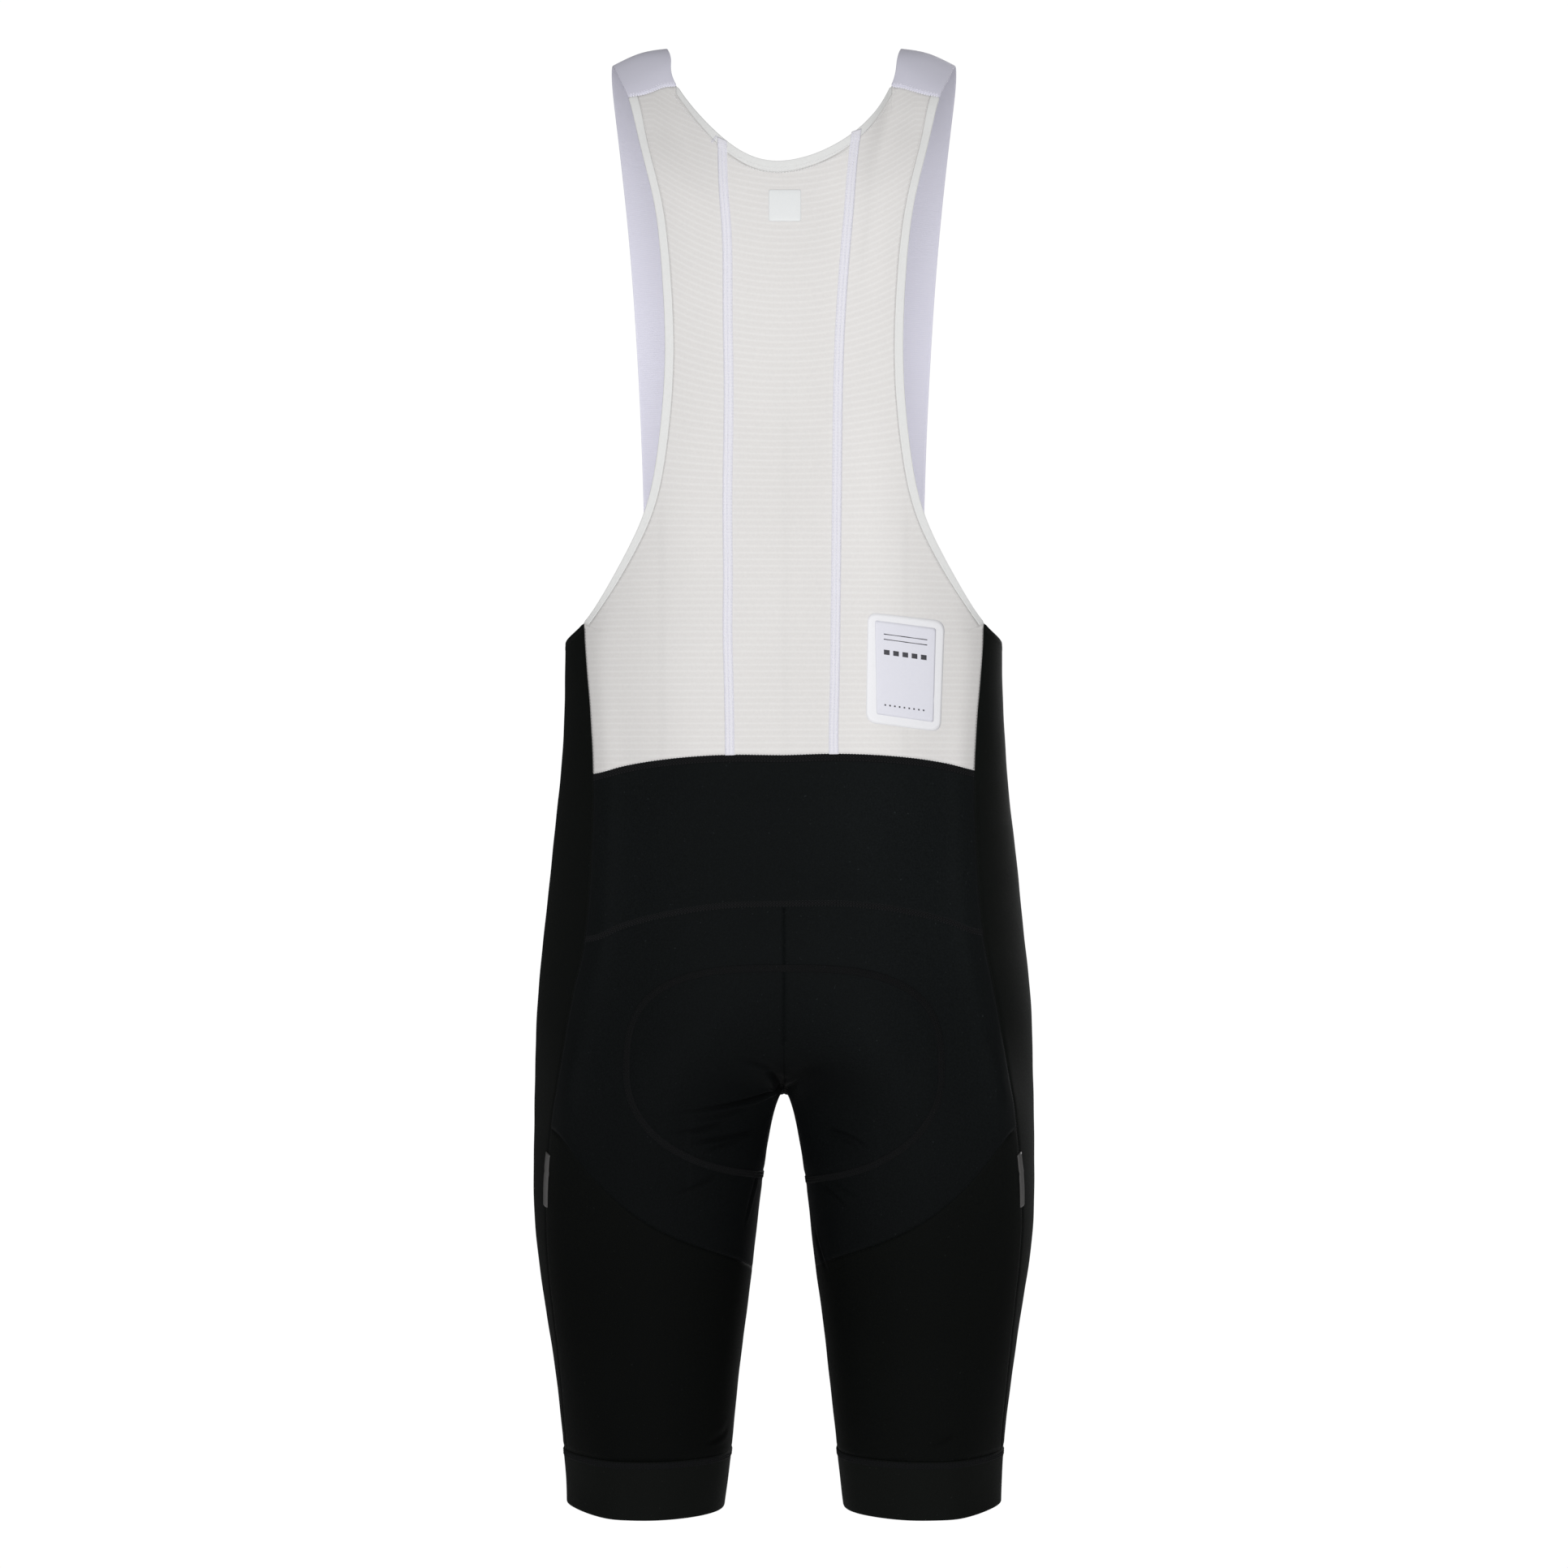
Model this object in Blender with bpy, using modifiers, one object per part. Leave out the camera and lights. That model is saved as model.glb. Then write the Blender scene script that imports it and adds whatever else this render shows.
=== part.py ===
"""Thermal bib shorts in their worn form, hollow, with neck, arms, waist and hems open.

Metres, +Z up. The back faces +Y and the front -Y; the wearer's left is +X. The origin is midway between
the undersides of the two straps where they cross the shoulders. Sizes below are in millimetres.

The whole garment is one smooth shell, cut into its panels along the seams. Each panel is a wall of its
own thickness, and the panels stand 0.3 mm apart.
"""

import math

import bmesh
import bpy
import numpy as np
from mathutils import Vector
from mathutils.bvhtree import BVHTree

for old in list(bpy.data.objects):
    bpy.data.objects.remove(old, do_unlink=True)

# ---------------------------------------------------------------- sizes, mm
MM = 0.001
EYE = 472.0  # the level of the eye below the shoulders
FAR = 2420.0  # how far behind the garment the eye stands
ROUND_BODY = 2.4  # squareness of the level sections of the trunk
ROUND_LEG = 2.1  # squareness of the level sections of the legs
SEAM_GAP = 0.3
WALL_MESH = 1.0
WALL_KNIT = 1.4
WALL_GRIP = 1.8
WALL_BIND = 1.8
WALL_STRAP = 1.4
PROUD_BIND = 0.4
PROUD_GRIP = 0.3
NECK_BIND = 7.0
ARM_BIND = 5.2
TAPE_WIDTH = 6.3
TAPE_THICK = 1.0
LABEL_THICK = 1.0
PAD_THICK = 3.6
PAD_HALF_BACK = 103.0
PAD_HALF_FRONT = 58.0
PAD_MIDDLE = -188.0
PAD_RISE_BACK = 67.5
PAD_RISE_FRONT = 30.0
PAD_DROP_LEFT = 67.5
PAD_DROP_RIGHT = 71.0
PAD_CURVE_TOP = 3.0  # squareness of its outline above its middle
PAD_CURVE_FOOT = 2.2  # and below
GRIP_TOP = -905.0
HEM = -942.0
HEM_RISE = 2.6  # how much higher the hem is at the outer side
DETAIL = 1
FIT_BACK = 40  # rounds of fitting that the back and the straps have
FIT_BODY = 5  # and the trunk and legs, whose tables are eased into each other

# Level sections: height, half width, reach behind, reach in front, half the gap between the legs
SECTION_COLUMNS = ("height", "half", "back", "front", "inner")
SECTIONS = (
    (-350, 141.0, 93.0, 105.0, 0.0),
    (-384, 142.0, 92.0, 103.0, 0.0),
    (-416, 143.3, 92.0, 101.0, 0.0),
    (-453, 144.9, 94.0, 99.0, 0.0),
    (-490, 149.1, 98.5, 98.0, 0.0),
    (-520, 152.3, 104.5, 97.0, 0.0),
    (-550, 155.4, 110.5, 96.0, 0.0),
    (-575, 158.0, 115.0, 95.5, 0.0),
    (-600, 160.5, 117.5, 95.5, 0.0),
    (-628, 162.4, 117.0, 95.5, 0.0),
    (-660, 163.7, 109.0, 95.0, 1.0),
    (-687, 164.5, 98.0, 93.0, 10.2),
    (-700, 164.7, 93.5, 91.5, 11.6),
    (-723, 164.8, 87.0, 89.0, 13.5),
    (-759, 163.4, 79.0, 84.5, 17.0),
    (-785, 161.1, 74.0, 80.5, 20.5),
    (-814, 157.3, 69.0, 75.5, 24.3),
    (-848, 150.9, 64.0, 69.0, 28.3),
    (-880, 144.9, 60.0, 64.0, 32.0),
    (-905, 142.9, 57.5, 61.0, 34.6),
    (-942, 140.7, 55.0, 58.5, 39.0),
)

# Columns of the shell from centre back (CB) round to centre front (CF); SB is the back side seam
COLUMNS = ("CB", "B1", "B2", "B3", "SB", "S", "FS", "F2", "F1", "CF")
# Rows of the trunk: heights above eye level at each column
TRUNK_HEIGHT = {
    "edge": (101.0, 101.5, 103.0, 104.3, 105.0, 89.5, 79.0, 71.0, 62.0, 58.0),
    "ribs": (60.0, 60.0, 58.0, 55.0, 54.0, 47.0, 42.0, 38.0, 34.0, 32.0),
    "yoke_top": (18.5, 19.2, 16.8, 12.0, 7.2, 2.0, -2.0, -4.0, -5.0, -6.0),
    "waist": (-30.0, -30.0, -33.0, -38.0, -43.0, -45.0, -46.0, -46.0, -46.0, -46.0),
    "yoke_foot": (-78.4, -78.7, -84.0, -92.6, -99.6, -96.0, -92.0, -89.0, -87.0, -86.0),
    "hip": (-118.0, -118.5, -121.0, -125.0, -130.0, -130.0, -127.0, -125.0, -123.0, -122.0),
    "seat": (-156.0, -157.0, -159.0, -159.0, -158.0, -156.0, -154.0, -153.0, -153.0, -152.0),
}
# Rows of the trunk: distance from the centre line at the back columns
TRUNK_ACROSS = {
    "edge": (0.0, 36.0, 75.0, 109.0, 130.8),
    "ribs": (0.0, 35.0, 76.0, 108.5, 127.0),
    "yoke_top": (0.0, 34.5, 76.0, 107.0, 124.6),
    "waist": (0.0, 35.5, 76.0, 107.5, 125.3),
    "yoke_foot": (0.0, 38.0, 77.0, 110.0, 130.0),
    "hip": (0.0, 41.0, 81.0, 115.5, 136.0),
    "seat": (0.0, 48.0, 89.0, 122.5, 141.5),
}
FRONT_TURN = {"S": 0.0, "FS": -38.0, "F2": -59.0, "F1": -76.0, "CF": -90.0}
YOKE_LEAN = {"yoke_top": 1.3, "yoke_foot": 2.3}
CLEFT = {"hip": 1.5, "seat": 8.0}

# The line under the crotch, from back to front: reach, height
CROTCH_COLUMNS = ("C1", "C2", "C3", "C4", "C5")
CROTCH = {"C1": (85.0, -184.0), "C2": (52.0, -199.0), "C3": (10.0, -203.5), "C4": (-36.0, -198.0), "C5": (-73.0, -179.0)}

# Rings of the leg: columns, and the turn round the leg at which each stands (0 outward, 90 back)
LEG_COLUMNS = ("B1", "B2", "B3", "SB", "S", "FS", "F2", "F1", "I3", "I2", "I1")
LEG_TURN = {"B1": 106.0, "B2": 80.0, "B3": 57.0, "S": -6.0, "FS": -37.0, "F2": -68.0, "F1": -104.0, "I3": -145.0, "I2": 180.0, "I1": 145.0}
LEG_HEIGHT = {
    "root": (-200.0, -194.0, -186.0, -182.0, -180.0, -181.0, -187.0, -197.0, -214.0, -216.0, -214.0),
    "thigh": (-248.0, -234.0, -214.0, -204.0, -204.0, -211.0, -228.0, -246.0, -262.0, -266.0, -262.0),
    "seat_seam": (-297.5, -275.0, -245.0, -224.5, -228.0, -244.0, -274.0, -300.0, -312.0, -316.0, -310.0),
    "low_thigh": (-333.0, -318.0, -300.0, -290.0, -291.0, -302.0, -320.0, -334.0, -345.0, -350.0, -345.0),
    "knee": (-382.0, -375.0, -366.0, -361.0, -361.0, -366.0, -375.0, -382.0, -388.0, -390.0, -388.0),
}
LEG_SIDE_SEAM = {"root": 145.6, "thigh": 149.6, "seat_seam": 152.2, "low_thigh": 155.8, "knee": 149.0}
LOW_TURN = {"SB": 14.0, "S": -16.0, "FS": -42.0}

# Rows of the back above the side panels: height and across at each column, then reach behind
BACK_HEIGHT = {
    "b1": (134.0, 134.5, 136.0, 137.5, 138.5),
    "b2": (173.0, 173.5, 175.5, 177.5, 178.5),
    "b3": (216.0, 217.0, 219.5, 222.5, 223.5),
    "b4": (262.0, 263.5, 267.0, 271.5, 273.5),
    "b5": (306.0, 308.5, 314.0, 320.5, 324.0),
    "b6": (348.0, 351.5, 360.0, 366.5, 370.0),
    "b7": (373.0, 378.0, 391.5, 399.0, 402.0),
    "b8": (390.0, 400.0, 425.0, 427.0, 428.0),
    "neck": (407.0, 422.0, 456.3, 452.6, 449.0),
}
BACK_ACROSS = {
    "b1": (0.0, 36.0, 67.0, 91.5, 109.6),
    "b2": (0.0, 36.0, 59.0, 75.5, 90.7),
    "b3": (0.0, 36.0, 54.5, 67.5, 81.6),
    "b4": (0.0, 36.0, 52.5, 64.0, 77.6),
    "b5": (0.0, 36.8, 52.5, 64.5, 78.7),
    "b6": (0.0, 38.5, 55.0, 68.5, 82.9),
    "b7": (0.0, 40.5, 59.5, 74.5, 89.6),
    "b8": (0.0, 42.0, 66.0, 81.5, 95.9),
    "neck": (0.0, 43.5, 70.5, 86.2, 101.2),
}
BACK_REACH = {
    "b1": (93.5, 93.0, 88.5, 80.0, 70.5),
    "b2": (96.5, 95.5, 93.2, 89.6, 84.5),
    "b3": (100.5, 99.5, 97.5, 95.2, 91.5),
    "b4": (105.0, 104.0, 102.0, 99.8, 96.8),
    "b5": (108.0, 107.0, 105.0, 102.5, 99.0),
    "b6": (107.5, 106.0, 102.0, 98.0, 93.0),
    "b7": (105.5, 103.0, 95.0, 89.5, 84.0),
    "b8": (102.5, 98.0, 74.0, 71.5, 69.0),
    "neck": (98.5, 89.5, 50.0, 52.0, 53.5),
}
# How far the two long back seams stand from even, by row: wearer's left, wearer's right
TAPE_SHIFT = {
    "edge": (1.0, -2.5), "ribs": (1.0, -2.0), "yoke_top": (1.0, -2.2), "b1": (0.6, -2.0), "b2": (1.0, -1.6),
    "b3": (0.6, -1.2), "b4": (0.2, -0.6), "b5": (0.0, 0.4), "b6": (-1.4, 1.8), "b7": (-1.8, 2.2),
    "b8": (-2.0, 2.5), "neck": (-3.2, 3.7),
}
TAPE_RISE = {"b7": 0.6, "b8": 2.2, "neck": 4.6}  # how much higher the wearer's right one is at the neck

# Rows of the strap over the shoulder, true sizes: (across, reach, height) of its inner and outer edge
STRAP_COLUMNS = ("across_in", "reach_in", "height_in", "across_out", "reach_out", "height_out")
STRAP = (
    (73.6, 28.0, -4.0, 106.4, 29.0, -15.0),
    (77.0, 3.0, 8.0, 111.6, 3.0, -3.0),
    (77.6, -22.0, 2.0, 113.0, -21.0, -11.0),
    (75.8, -47.0, -19.0, 111.4, -45.0, -31.0),
    (72.4, -69.0, -53.0, 108.2, -65.0, -62.0),
    (67.0, -89.0, -111.0, 103.4, -81.0, -115.0),
    (62.2, -101.5, -185.0, 98.8, -91.0, -187.0),
    (59.0, -106.5, -262.0, 95.6, -95.0, -263.0),
    (57.0, -106.0, -334.0, 94.0, -93.0, -334.0),
    (56.2, -103.0, -388.0, 93.2, -90.5, -385.0),
    (56.0, -101.5, -411.0, 93.0, -88.5, -405.0),
)
STRAP_ARCH = (1.4, 2.4, 2.2, 1.2, 0.4, 0.0)  # how far its middle rises between the edges, row by row


# ---------------------------------------------------------------- form
def at_height(name, height):
    """A section's size at a height, smoothly between the rows of its table."""
    z = np.array([row[0] for row in SECTIONS][::-1], float)
    size = np.array([row[SECTION_COLUMNS.index(name)] for row in SECTIONS][::-1], float)
    slope = np.gradient(size, z)
    i = int(np.clip(np.searchsorted(z, height) - 1, 0, len(z) - 2))
    h = z[i + 1] - z[i]
    t = min(max((height - z[i]) / h, 0.0), 1.0)
    return (
        (2 * t**3 - 3 * t**2 + 1) * size[i]
        + (t**3 - 2 * t**2 + t) * h * slope[i]
        + (3 * t**2 - 2 * t**3) * size[i + 1]
        + (t**3 - t**2) * h * slope[i + 1]
    )


def seen(across, height, reach):
    """The true point behind or before the shoulders' plane that is seen at this place on it."""
    k = (FAR - reach) / FAR
    return (across * k, reach, height * k - EYE)


def round_off(share, power):
    return (1 - min(abs(share), 1.0) ** power) ** (1 / power)


def trunk_across(across, height):
    """A point of the trunk's back, from its distance from the centre line."""
    reach = 0.0
    for _ in range(12):
        x, _, z = seen(across, height, reach)
        reach = at_height("back", z) * round_off(x / at_height("half", z), ROUND_BODY)
    return seen(across, height, reach)


def squared(turn, power):
    a = math.radians(turn)
    c, s = math.cos(a), math.sin(a)
    return (
        math.copysign(abs(c) ** (2 / power), c),
        math.copysign(abs(s) ** (2 / power), s),
    )


def trunk_turn(turn, height):
    c, s = squared(turn, ROUND_BODY)
    reach = 0.0
    for _ in range(12):
        z = height * (FAR - reach) / FAR - EYE
        reach = s * at_height("back" if s > 0 else "front", z)
    return (c * at_height("half", z), reach, z)


def leg_turn(turn, height, level=None):
    """A point round a leg; level gives the true height where the ring is level."""
    c, s = squared(turn, ROUND_LEG)
    reach = 0.0
    for _ in range(12):
        z = height * (FAR - reach) / FAR - EYE if level is None else level
        reach = s * at_height("back" if s > 0 else "front", z)
    half, inner = at_height("half", z), at_height("inner", z)
    return ((half + inner) / 2 + c * (half - inner) / 2, reach, z)


def leg_across(across, height):
    reach = 0.0
    for _ in range(12):
        x, _, z = seen(across, height, reach)
        half, inner = at_height("half", z), at_height("inner", z)
        share = (x - (half + inner) / 2) / ((half - inner) / 2)
        reach = at_height("back", z) * round_off(share, ROUND_LEG)
    return seen(across, height, reach)


def eased(share):
    share = min(max(share, 0.0), 1.0)
    return share * share * (3 - 2 * share)


def pad_level(point):
    """How far inside the pad's outline a point of the shell lies: 1 at its middle, 0 on the outline."""
    x, y, z = (float(c) / MM for c in point)
    k = FAR / (FAR - y)
    above = (z + EYE) * k - PAD_MIDDLE
    back = eased((y + 40) / 80)
    half = PAD_HALF_FRONT + (PAD_HALF_BACK - PAD_HALF_FRONT) * back
    rise = PAD_RISE_FRONT + (PAD_RISE_BACK - PAD_RISE_FRONT) * back
    tall = rise if above > 0 else (PAD_DROP_LEFT if x > 0 else PAD_DROP_RIGHT)
    power = PAD_CURVE_FOOT + (PAD_CURVE_TOP - PAD_CURVE_FOOT) * eased((above + 12) / 24)
    return 1 - (abs(x) * k / half) ** power - (abs(above) / tall) ** power


def mixed(a, b, share):
    return tuple((1 - share) * p + share * q for p, q in zip(a, b))


# ---------------------------------------------------------------- cage
CAGE = {}
QUADS = []


def put(row, column, side, point):
    centre = column in ("CB", "CF") or column in CROTCH
    x = 0.0 if centre else side * point[0]
    CAGE[(row, column, 0 if centre else side)] = (x, point[1], point[2])


def key(row, column, side):
    return (row, column, 0 if column in ("CB", "CF") or column in CROTCH else side)


def quad(panel, side, *corners):
    keys = [key(row, column, side) for row, column in corners]
    QUADS.append((panel, keys if side > 0 else keys[::-1]))


def fill_cage():
    for side in (1, -1):
        for row, heights in TRUNK_HEIGHT.items():
            for i, column in enumerate(COLUMNS):
                if i < 5:
                    across = TRUNK_ACROSS[row][i]
                    if column == "B1":
                        across += TAPE_SHIFT.get(row, (0, 0))[0 if side > 0 else 1]
                    lean = YOKE_LEAN.get(row, 0.0) * side * across / 125
                    point = trunk_across(across, heights[i] - lean)
                    if column == "CB":
                        point = (0.0, point[1] - CLEFT.get(row, 0.0), point[2])
                else:
                    point = trunk_turn(FRONT_TURN[column], heights[i])
                put(row, column, side, point)
        for column, (reach, height) in CROTCH.items():
            put("crotch", column, side, seen(0.0, height, reach))
        for row, heights in LEG_HEIGHT.items():
            for column, height in zip(LEG_COLUMNS, heights):
                if column == "SB":
                    point = leg_across(LEG_SIDE_SEAM[row], height)
                elif row == "knee" and column in LOW_TURN:
                    point = leg_turn(LOW_TURN[column] * 0.6 + LEG_TURN.get(column, 0) * 0.4, height)
                else:
                    point = leg_turn(LEG_TURN[column], height)
                if row == "root":
                    if column == "SB":
                        other = trunk_across(LEG_SIDE_SEAM[row], height)
                    elif column in ("B1", "B2", "B3"):
                        across = {"B1": 58.0, "B2": 99.0, "B3": 128.0}[column]
                        other = trunk_across(across, height)
                    elif column in ("S", "FS", "F2", "F1"):
                        other = trunk_turn({"S": 0, "FS": -38, "F2": -57, "F1": -72}[column], height)
                    else:
                        reach = {"I1": 42.0, "I2": 8.0, "I3": -28.0}[column]
                        point = other = (11.2, reach, seen(0, height, reach)[2])
                    point = mixed(other, point, 0.5)
                put(row, column, side, point)
        for row, level in (("grip", GRIP_TOP), ("hem", HEM)):
            for column in LEG_COLUMNS:
                turn = LOW_TURN.get(column, LEG_TURN.get(column))
                lift = HEM_RISE * max(math.cos(math.radians(turn)), 0.0) ** 2 if row == "hem" else 0.0
                put(row, column, side, leg_turn(turn, 0.0, level + lift))
        for row in BACK_HEIGHT:
            for i, column in enumerate(COLUMNS[:5]):
                across, height = BACK_ACROSS[row][i], BACK_HEIGHT[row][i]
                if column == "B1":
                    across += TAPE_SHIFT[row][0 if side > 0 else 1]
                    height += TAPE_RISE.get(row, 0.0) if side < 0 else 0.0
                put(row, column, side, seen(across, height, BACK_REACH[row][i]))
        for i, size in enumerate(STRAP):
            inner, outer = size[:3], size[3:]
            put(f"k{i}", "B2", side, inner)
            across, reach, height = mixed(inner, outer, 0.5)
            put(f"k{i}", "B3", side, (across, reach, height + STRAP_ARCH[min(i, len(STRAP_ARCH) - 1)]))
            put(f"k{i}", "SB", side, outer)


def fill_quads():
    trunk = list(TRUNK_HEIGHT)
    back = ["edge", *BACK_HEIGHT]
    strap = ["neck", *(f"k{i}" for i in range(len(STRAP)))]
    legs = ["root", "thigh", "seat_seam", "low_thigh", "knee", "grip", "hem"]
    for side, name in ((1, "left"), (-1, "right")):
        for top, foot in zip(trunk, trunk[1:]):
            for a, b in zip(COLUMNS, COLUMNS[1:]):
                if COLUMNS.index(a) >= 4:
                    panel = "front_" + name
                elif top in ("edge", "ribs"):
                    panel = "mesh_back_center" if a == "CB" else "mesh_back_" + name
                elif top in ("yoke_top", "waist"):
                    panel = "yoke"
                else:
                    panel = "seat_" + name
                quad(panel, side, (top, a), (top, b), (foot, b), (foot, a))
        for a, b in zip(COLUMNS[1:8], COLUMNS[2:9]):
            panel = ("seat_" if COLUMNS.index(a) < 4 else "front_") + name
            quad(panel, side, ("seat", a), ("seat", b), ("root", b), ("root", a))
        for panel, *corners in (
            ("seat_", ("seat", "CB"), ("seat", "B1"), ("root", "B1"), ("crotch", "C1")),
            ("seat_", ("crotch", "C1"), ("root", "B1"), ("root", "I1"), ("crotch", "C2")),
            ("seat_", ("crotch", "C2"), ("root", "I1"), ("root", "I2"), ("crotch", "C3")),
            ("front_", ("crotch", "C3"), ("root", "I2"), ("root", "I3"), ("crotch", "C4")),
            ("front_", ("crotch", "C4"), ("root", "I3"), ("root", "F1"), ("crotch", "C5")),
            ("front_", ("crotch", "C5"), ("root", "F1"), ("seat", "F1"), ("seat", "CF")),
        ):
            quad(panel + name, side, *corners)
        for top, foot in zip(legs, legs[1:]):
            ring = [*LEG_COLUMNS, LEG_COLUMNS[0]]
            for a, b in zip(ring, ring[1:]):
                behind = a in ("B1", "B2", "B3", "I2", "I1")
                if top == "grip":
                    panel = "gripper_"
                elif not behind:
                    panel = "front_"
                elif top in ("root", "thigh"):
                    panel = "seat_"
                else:
                    panel = "rear_leg_"
                quad(panel + name, side, (top, a), (top, b), (foot, b), (foot, a))
        for foot, top in zip(back, back[1:]):
            for a, b in zip(COLUMNS[:4], COLUMNS[1:5]):
                panel = "mesh_back_center" if a == "CB" else "mesh_back_" + name
                quad(panel, side, (top, a), (top, b), (foot, b), (foot, a))
        for foot, top in zip(strap, strap[1:]):
            for a, b in (("B2", "B3"), ("B3", "SB")):
                quad("strap_" + name, side, (top, a), (top, b), (foot, b), (foot, a))


# ---------------------------------------------------------------- shell
def subdivided(points, quads, tags, level):
    """(points, faces, tags) of the smooth surface over the cage."""
    mesh = bpy.data.meshes.new("cage")
    mesh.from_pydata([tuple(p) for p in points], [], quads)
    mesh.polygons.foreach_set("material_index", tags)
    cage = bpy.data.objects.new("cage", mesh)
    bpy.context.scene.collection.objects.link(cage)
    smooth = cage.modifiers.new("smooth", "SUBSURF")
    smooth.levels = smooth.render_levels = level
    smooth.use_limit_surface = True
    smooth.boundary_smooth = "PRESERVE_CORNERS"
    graph = bpy.context.evaluated_depsgraph_get()
    shape = cage.evaluated_get(graph).to_mesh()
    out = np.empty(len(shape.vertices) * 3)
    shape.vertices.foreach_get("co", out)
    faces = [tuple(p.vertices) for p in shape.polygons]
    marks = [p.material_index for p in shape.polygons]
    bpy.data.objects.remove(cage, do_unlink=True)
    bpy.data.meshes.remove(mesh)
    return out.reshape(-1, 3), faces, marks


def fitted_shell(level):
    """The smooth shell over the cage, fitted back to the points of its tables."""
    names = list(CAGE)
    index = {name: i for i, name in enumerate(names)}
    aim = np.array([CAGE[name] for name in names], float) * MM
    quads = [tuple(index[k] for k in keys) for _, keys in QUADS]
    panels = sorted({panel for panel, _ in QUADS})
    tags = [panels.index(panel) for panel, _ in QUADS]
    points = aim.copy()
    exact = np.array([row in BACK_HEIGHT or row[0] == "k" or (row == "root" and column[0] == "I") or (row == "edge" and column in ("B3", "SB", "S")) for row, column, _ in names])
    for turn in range(FIT_BACK):
        reached = subdivided(points, quads, tags, 1)[0][: len(aim)]
        share = np.where(exact | (turn < FIT_BODY), 0.9, 0.0)
        points += share[:, None] * (aim - reached)
    out, faces, marks = subdivided(points, quads, tags, level)
    return out, faces, [panels[m] for m in marks], index, points, quads


def net_of(faces, corner, count):
    """The vertices of one cage face's share of the surface, as a square net that starts at its first corner."""
    owner = {}
    for face in faces:
        for i in range(4):
            owner[(face[i], face[(i + 1) % 4])] = face[i:] + face[:i]
    net = [[0] * (count + 1) for _ in range(count + 1)]
    start = next(f for f in faces if corner in f)
    start = start[start.index(corner) :] + start[: start.index(corner)]
    for j in range(count):
        face = start
        for i in range(count):
            net[i][j], net[i + 1][j], net[i + 1][j + 1], net[i][j + 1] = face
            if i + 1 < count:
                step = owner[(face[2], face[1])]
                face = (step[1], step[2], step[3], step[0])
        if j + 1 < count:
            start = owner[(start[3], start[2])]
            start = (start[1], start[2], start[3], start[0])
            start = (start[3], start[0], start[1], start[2])
    return net


class Shell:
    def __init__(self, level):
        self.points, squares, marks, self.index, cage, quads = fitted_shell(level)
        self.count = 2**level
        each = self.count**2
        self.nets = {}
        self.marks = list(marks)
        for i, (_, keys) in enumerate(QUADS):
            own = [tuple(f) for f in squares[i * each : (i + 1) * each]]
            self.nets[i] = net_of(own, quads[i][0], self.count)
        self.bind(squares)
        self.faces, self.tags = [], []
        for (a, b, c, d), mark in zip(squares, self.marks):
            p = self.points
            if np.linalg.norm(p[a] - p[c]) <= np.linalg.norm(p[b] - p[d]):
                self.faces += [(a, b, c), (a, c, d)]
            else:
                self.faces += [(a, b, d), (b, c, d)]
            self.tags += [mark, mark]
        normals = np.zeros_like(self.points)
        self.face_normals = []
        for face in self.faces:
            p = self.points[list(face)]
            n = np.cross(p[1] - p[0], p[2] - p[0])
            self.face_normals.append(n / np.linalg.norm(n))
            for v in face:
                normals[v] += n
        self.normals = normals / np.linalg.norm(normals, axis=1)[:, None]
        self.edge_faces = {}
        for i, face in enumerate(self.faces):
            for a, b in zip(face, (*face[1:], face[0])):
                self.edge_faces.setdefault(frozenset((a, b)), []).append(i)

    def bind(self, squares):
        """Part the bindings from the panels: slide the net until its lines lie at each binding's inner edge."""
        rows = ["edge", *BACK_HEIGHT]
        lines = []
        take = max(self.count // 2, 1)
        for i, (_, keys) in enumerate(QUADS):
            where = [(row, column) for row, column, _ in keys]
            side = "left" if max(k[2] for k in keys) > 0 else "right"
            high = [row in BACK_HEIGHT for row, _ in where]
            if not any(high) or not all(row in rows for row, _ in where):
                continue
            columns = [column for _, column in where]
            if "SB" in columns:
                rim = [n for n, column in enumerate(columns) if column == "SB"]
                name, width = "arm_binding_" + side, ARM_BIND
            elif [row for row, _ in where].count("neck") == 2 and "B3" not in columns:
                rim = [n for n, (row, _) in enumerate(where) if row == "neck"]
                name, width = "neck_binding", NECK_BIND
            else:
                continue
            net, n = self.nets[i], self.count
            spots = [(0, 0), (n, 0), (n, n), (0, n)]
            a, b = spots[rim[0]], spots[rim[1]]
            if a[0] == b[0]:
                from_rim = [[net[m if a[0] == 0 else n - m][j] for m in range(n + 1)] for j in range(n + 1)]
            else:
                from_rim = [[net[j][m if a[1] == 0 else n - m] for m in range(n + 1)] for j in range(n + 1)]
            lines += [(tuple(line), width) for line in from_rim]
            close = {v for line in from_rim for v in line[: take + 1]}
            each = self.count**2
            for k in range(i * each, (i + 1) * each):
                if all(v in close for v in squares[k]):
                    self.marks[k] = name
        fresh = self.points.copy()
        for line, width in dict.fromkeys(lines):
            p = self.points[list(line)]
            run = np.concatenate([[0], np.cumsum(np.linalg.norm(np.diff(p, axis=0), axis=1))])
            inner = width * MM
            at = np.concatenate([np.linspace(0, inner, take + 1), np.linspace(inner, run[-1], len(line) - take)[1:]])
            for m in range(1, len(line) - 1):
                fresh[line[m]] = [np.interp(at[m], run, p[:, axis]) for axis in range(3)]
        self.points = fresh


# ---------------------------------------------------------------- pieces
COLLECTION = bpy.data.collections.new("thermal_bib_shorts")
bpy.context.scene.collection.children.link(COLLECTION)


def material(name, colour, roughness):
    made = bpy.data.materials.new(name)
    made.use_nodes = True
    shader = made.node_tree.nodes["Principled BSDF"]
    shader.inputs["Base Color"].default_value = (*colour, 1.0)
    shader.inputs["Roughness"].default_value = roughness
    return made


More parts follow.
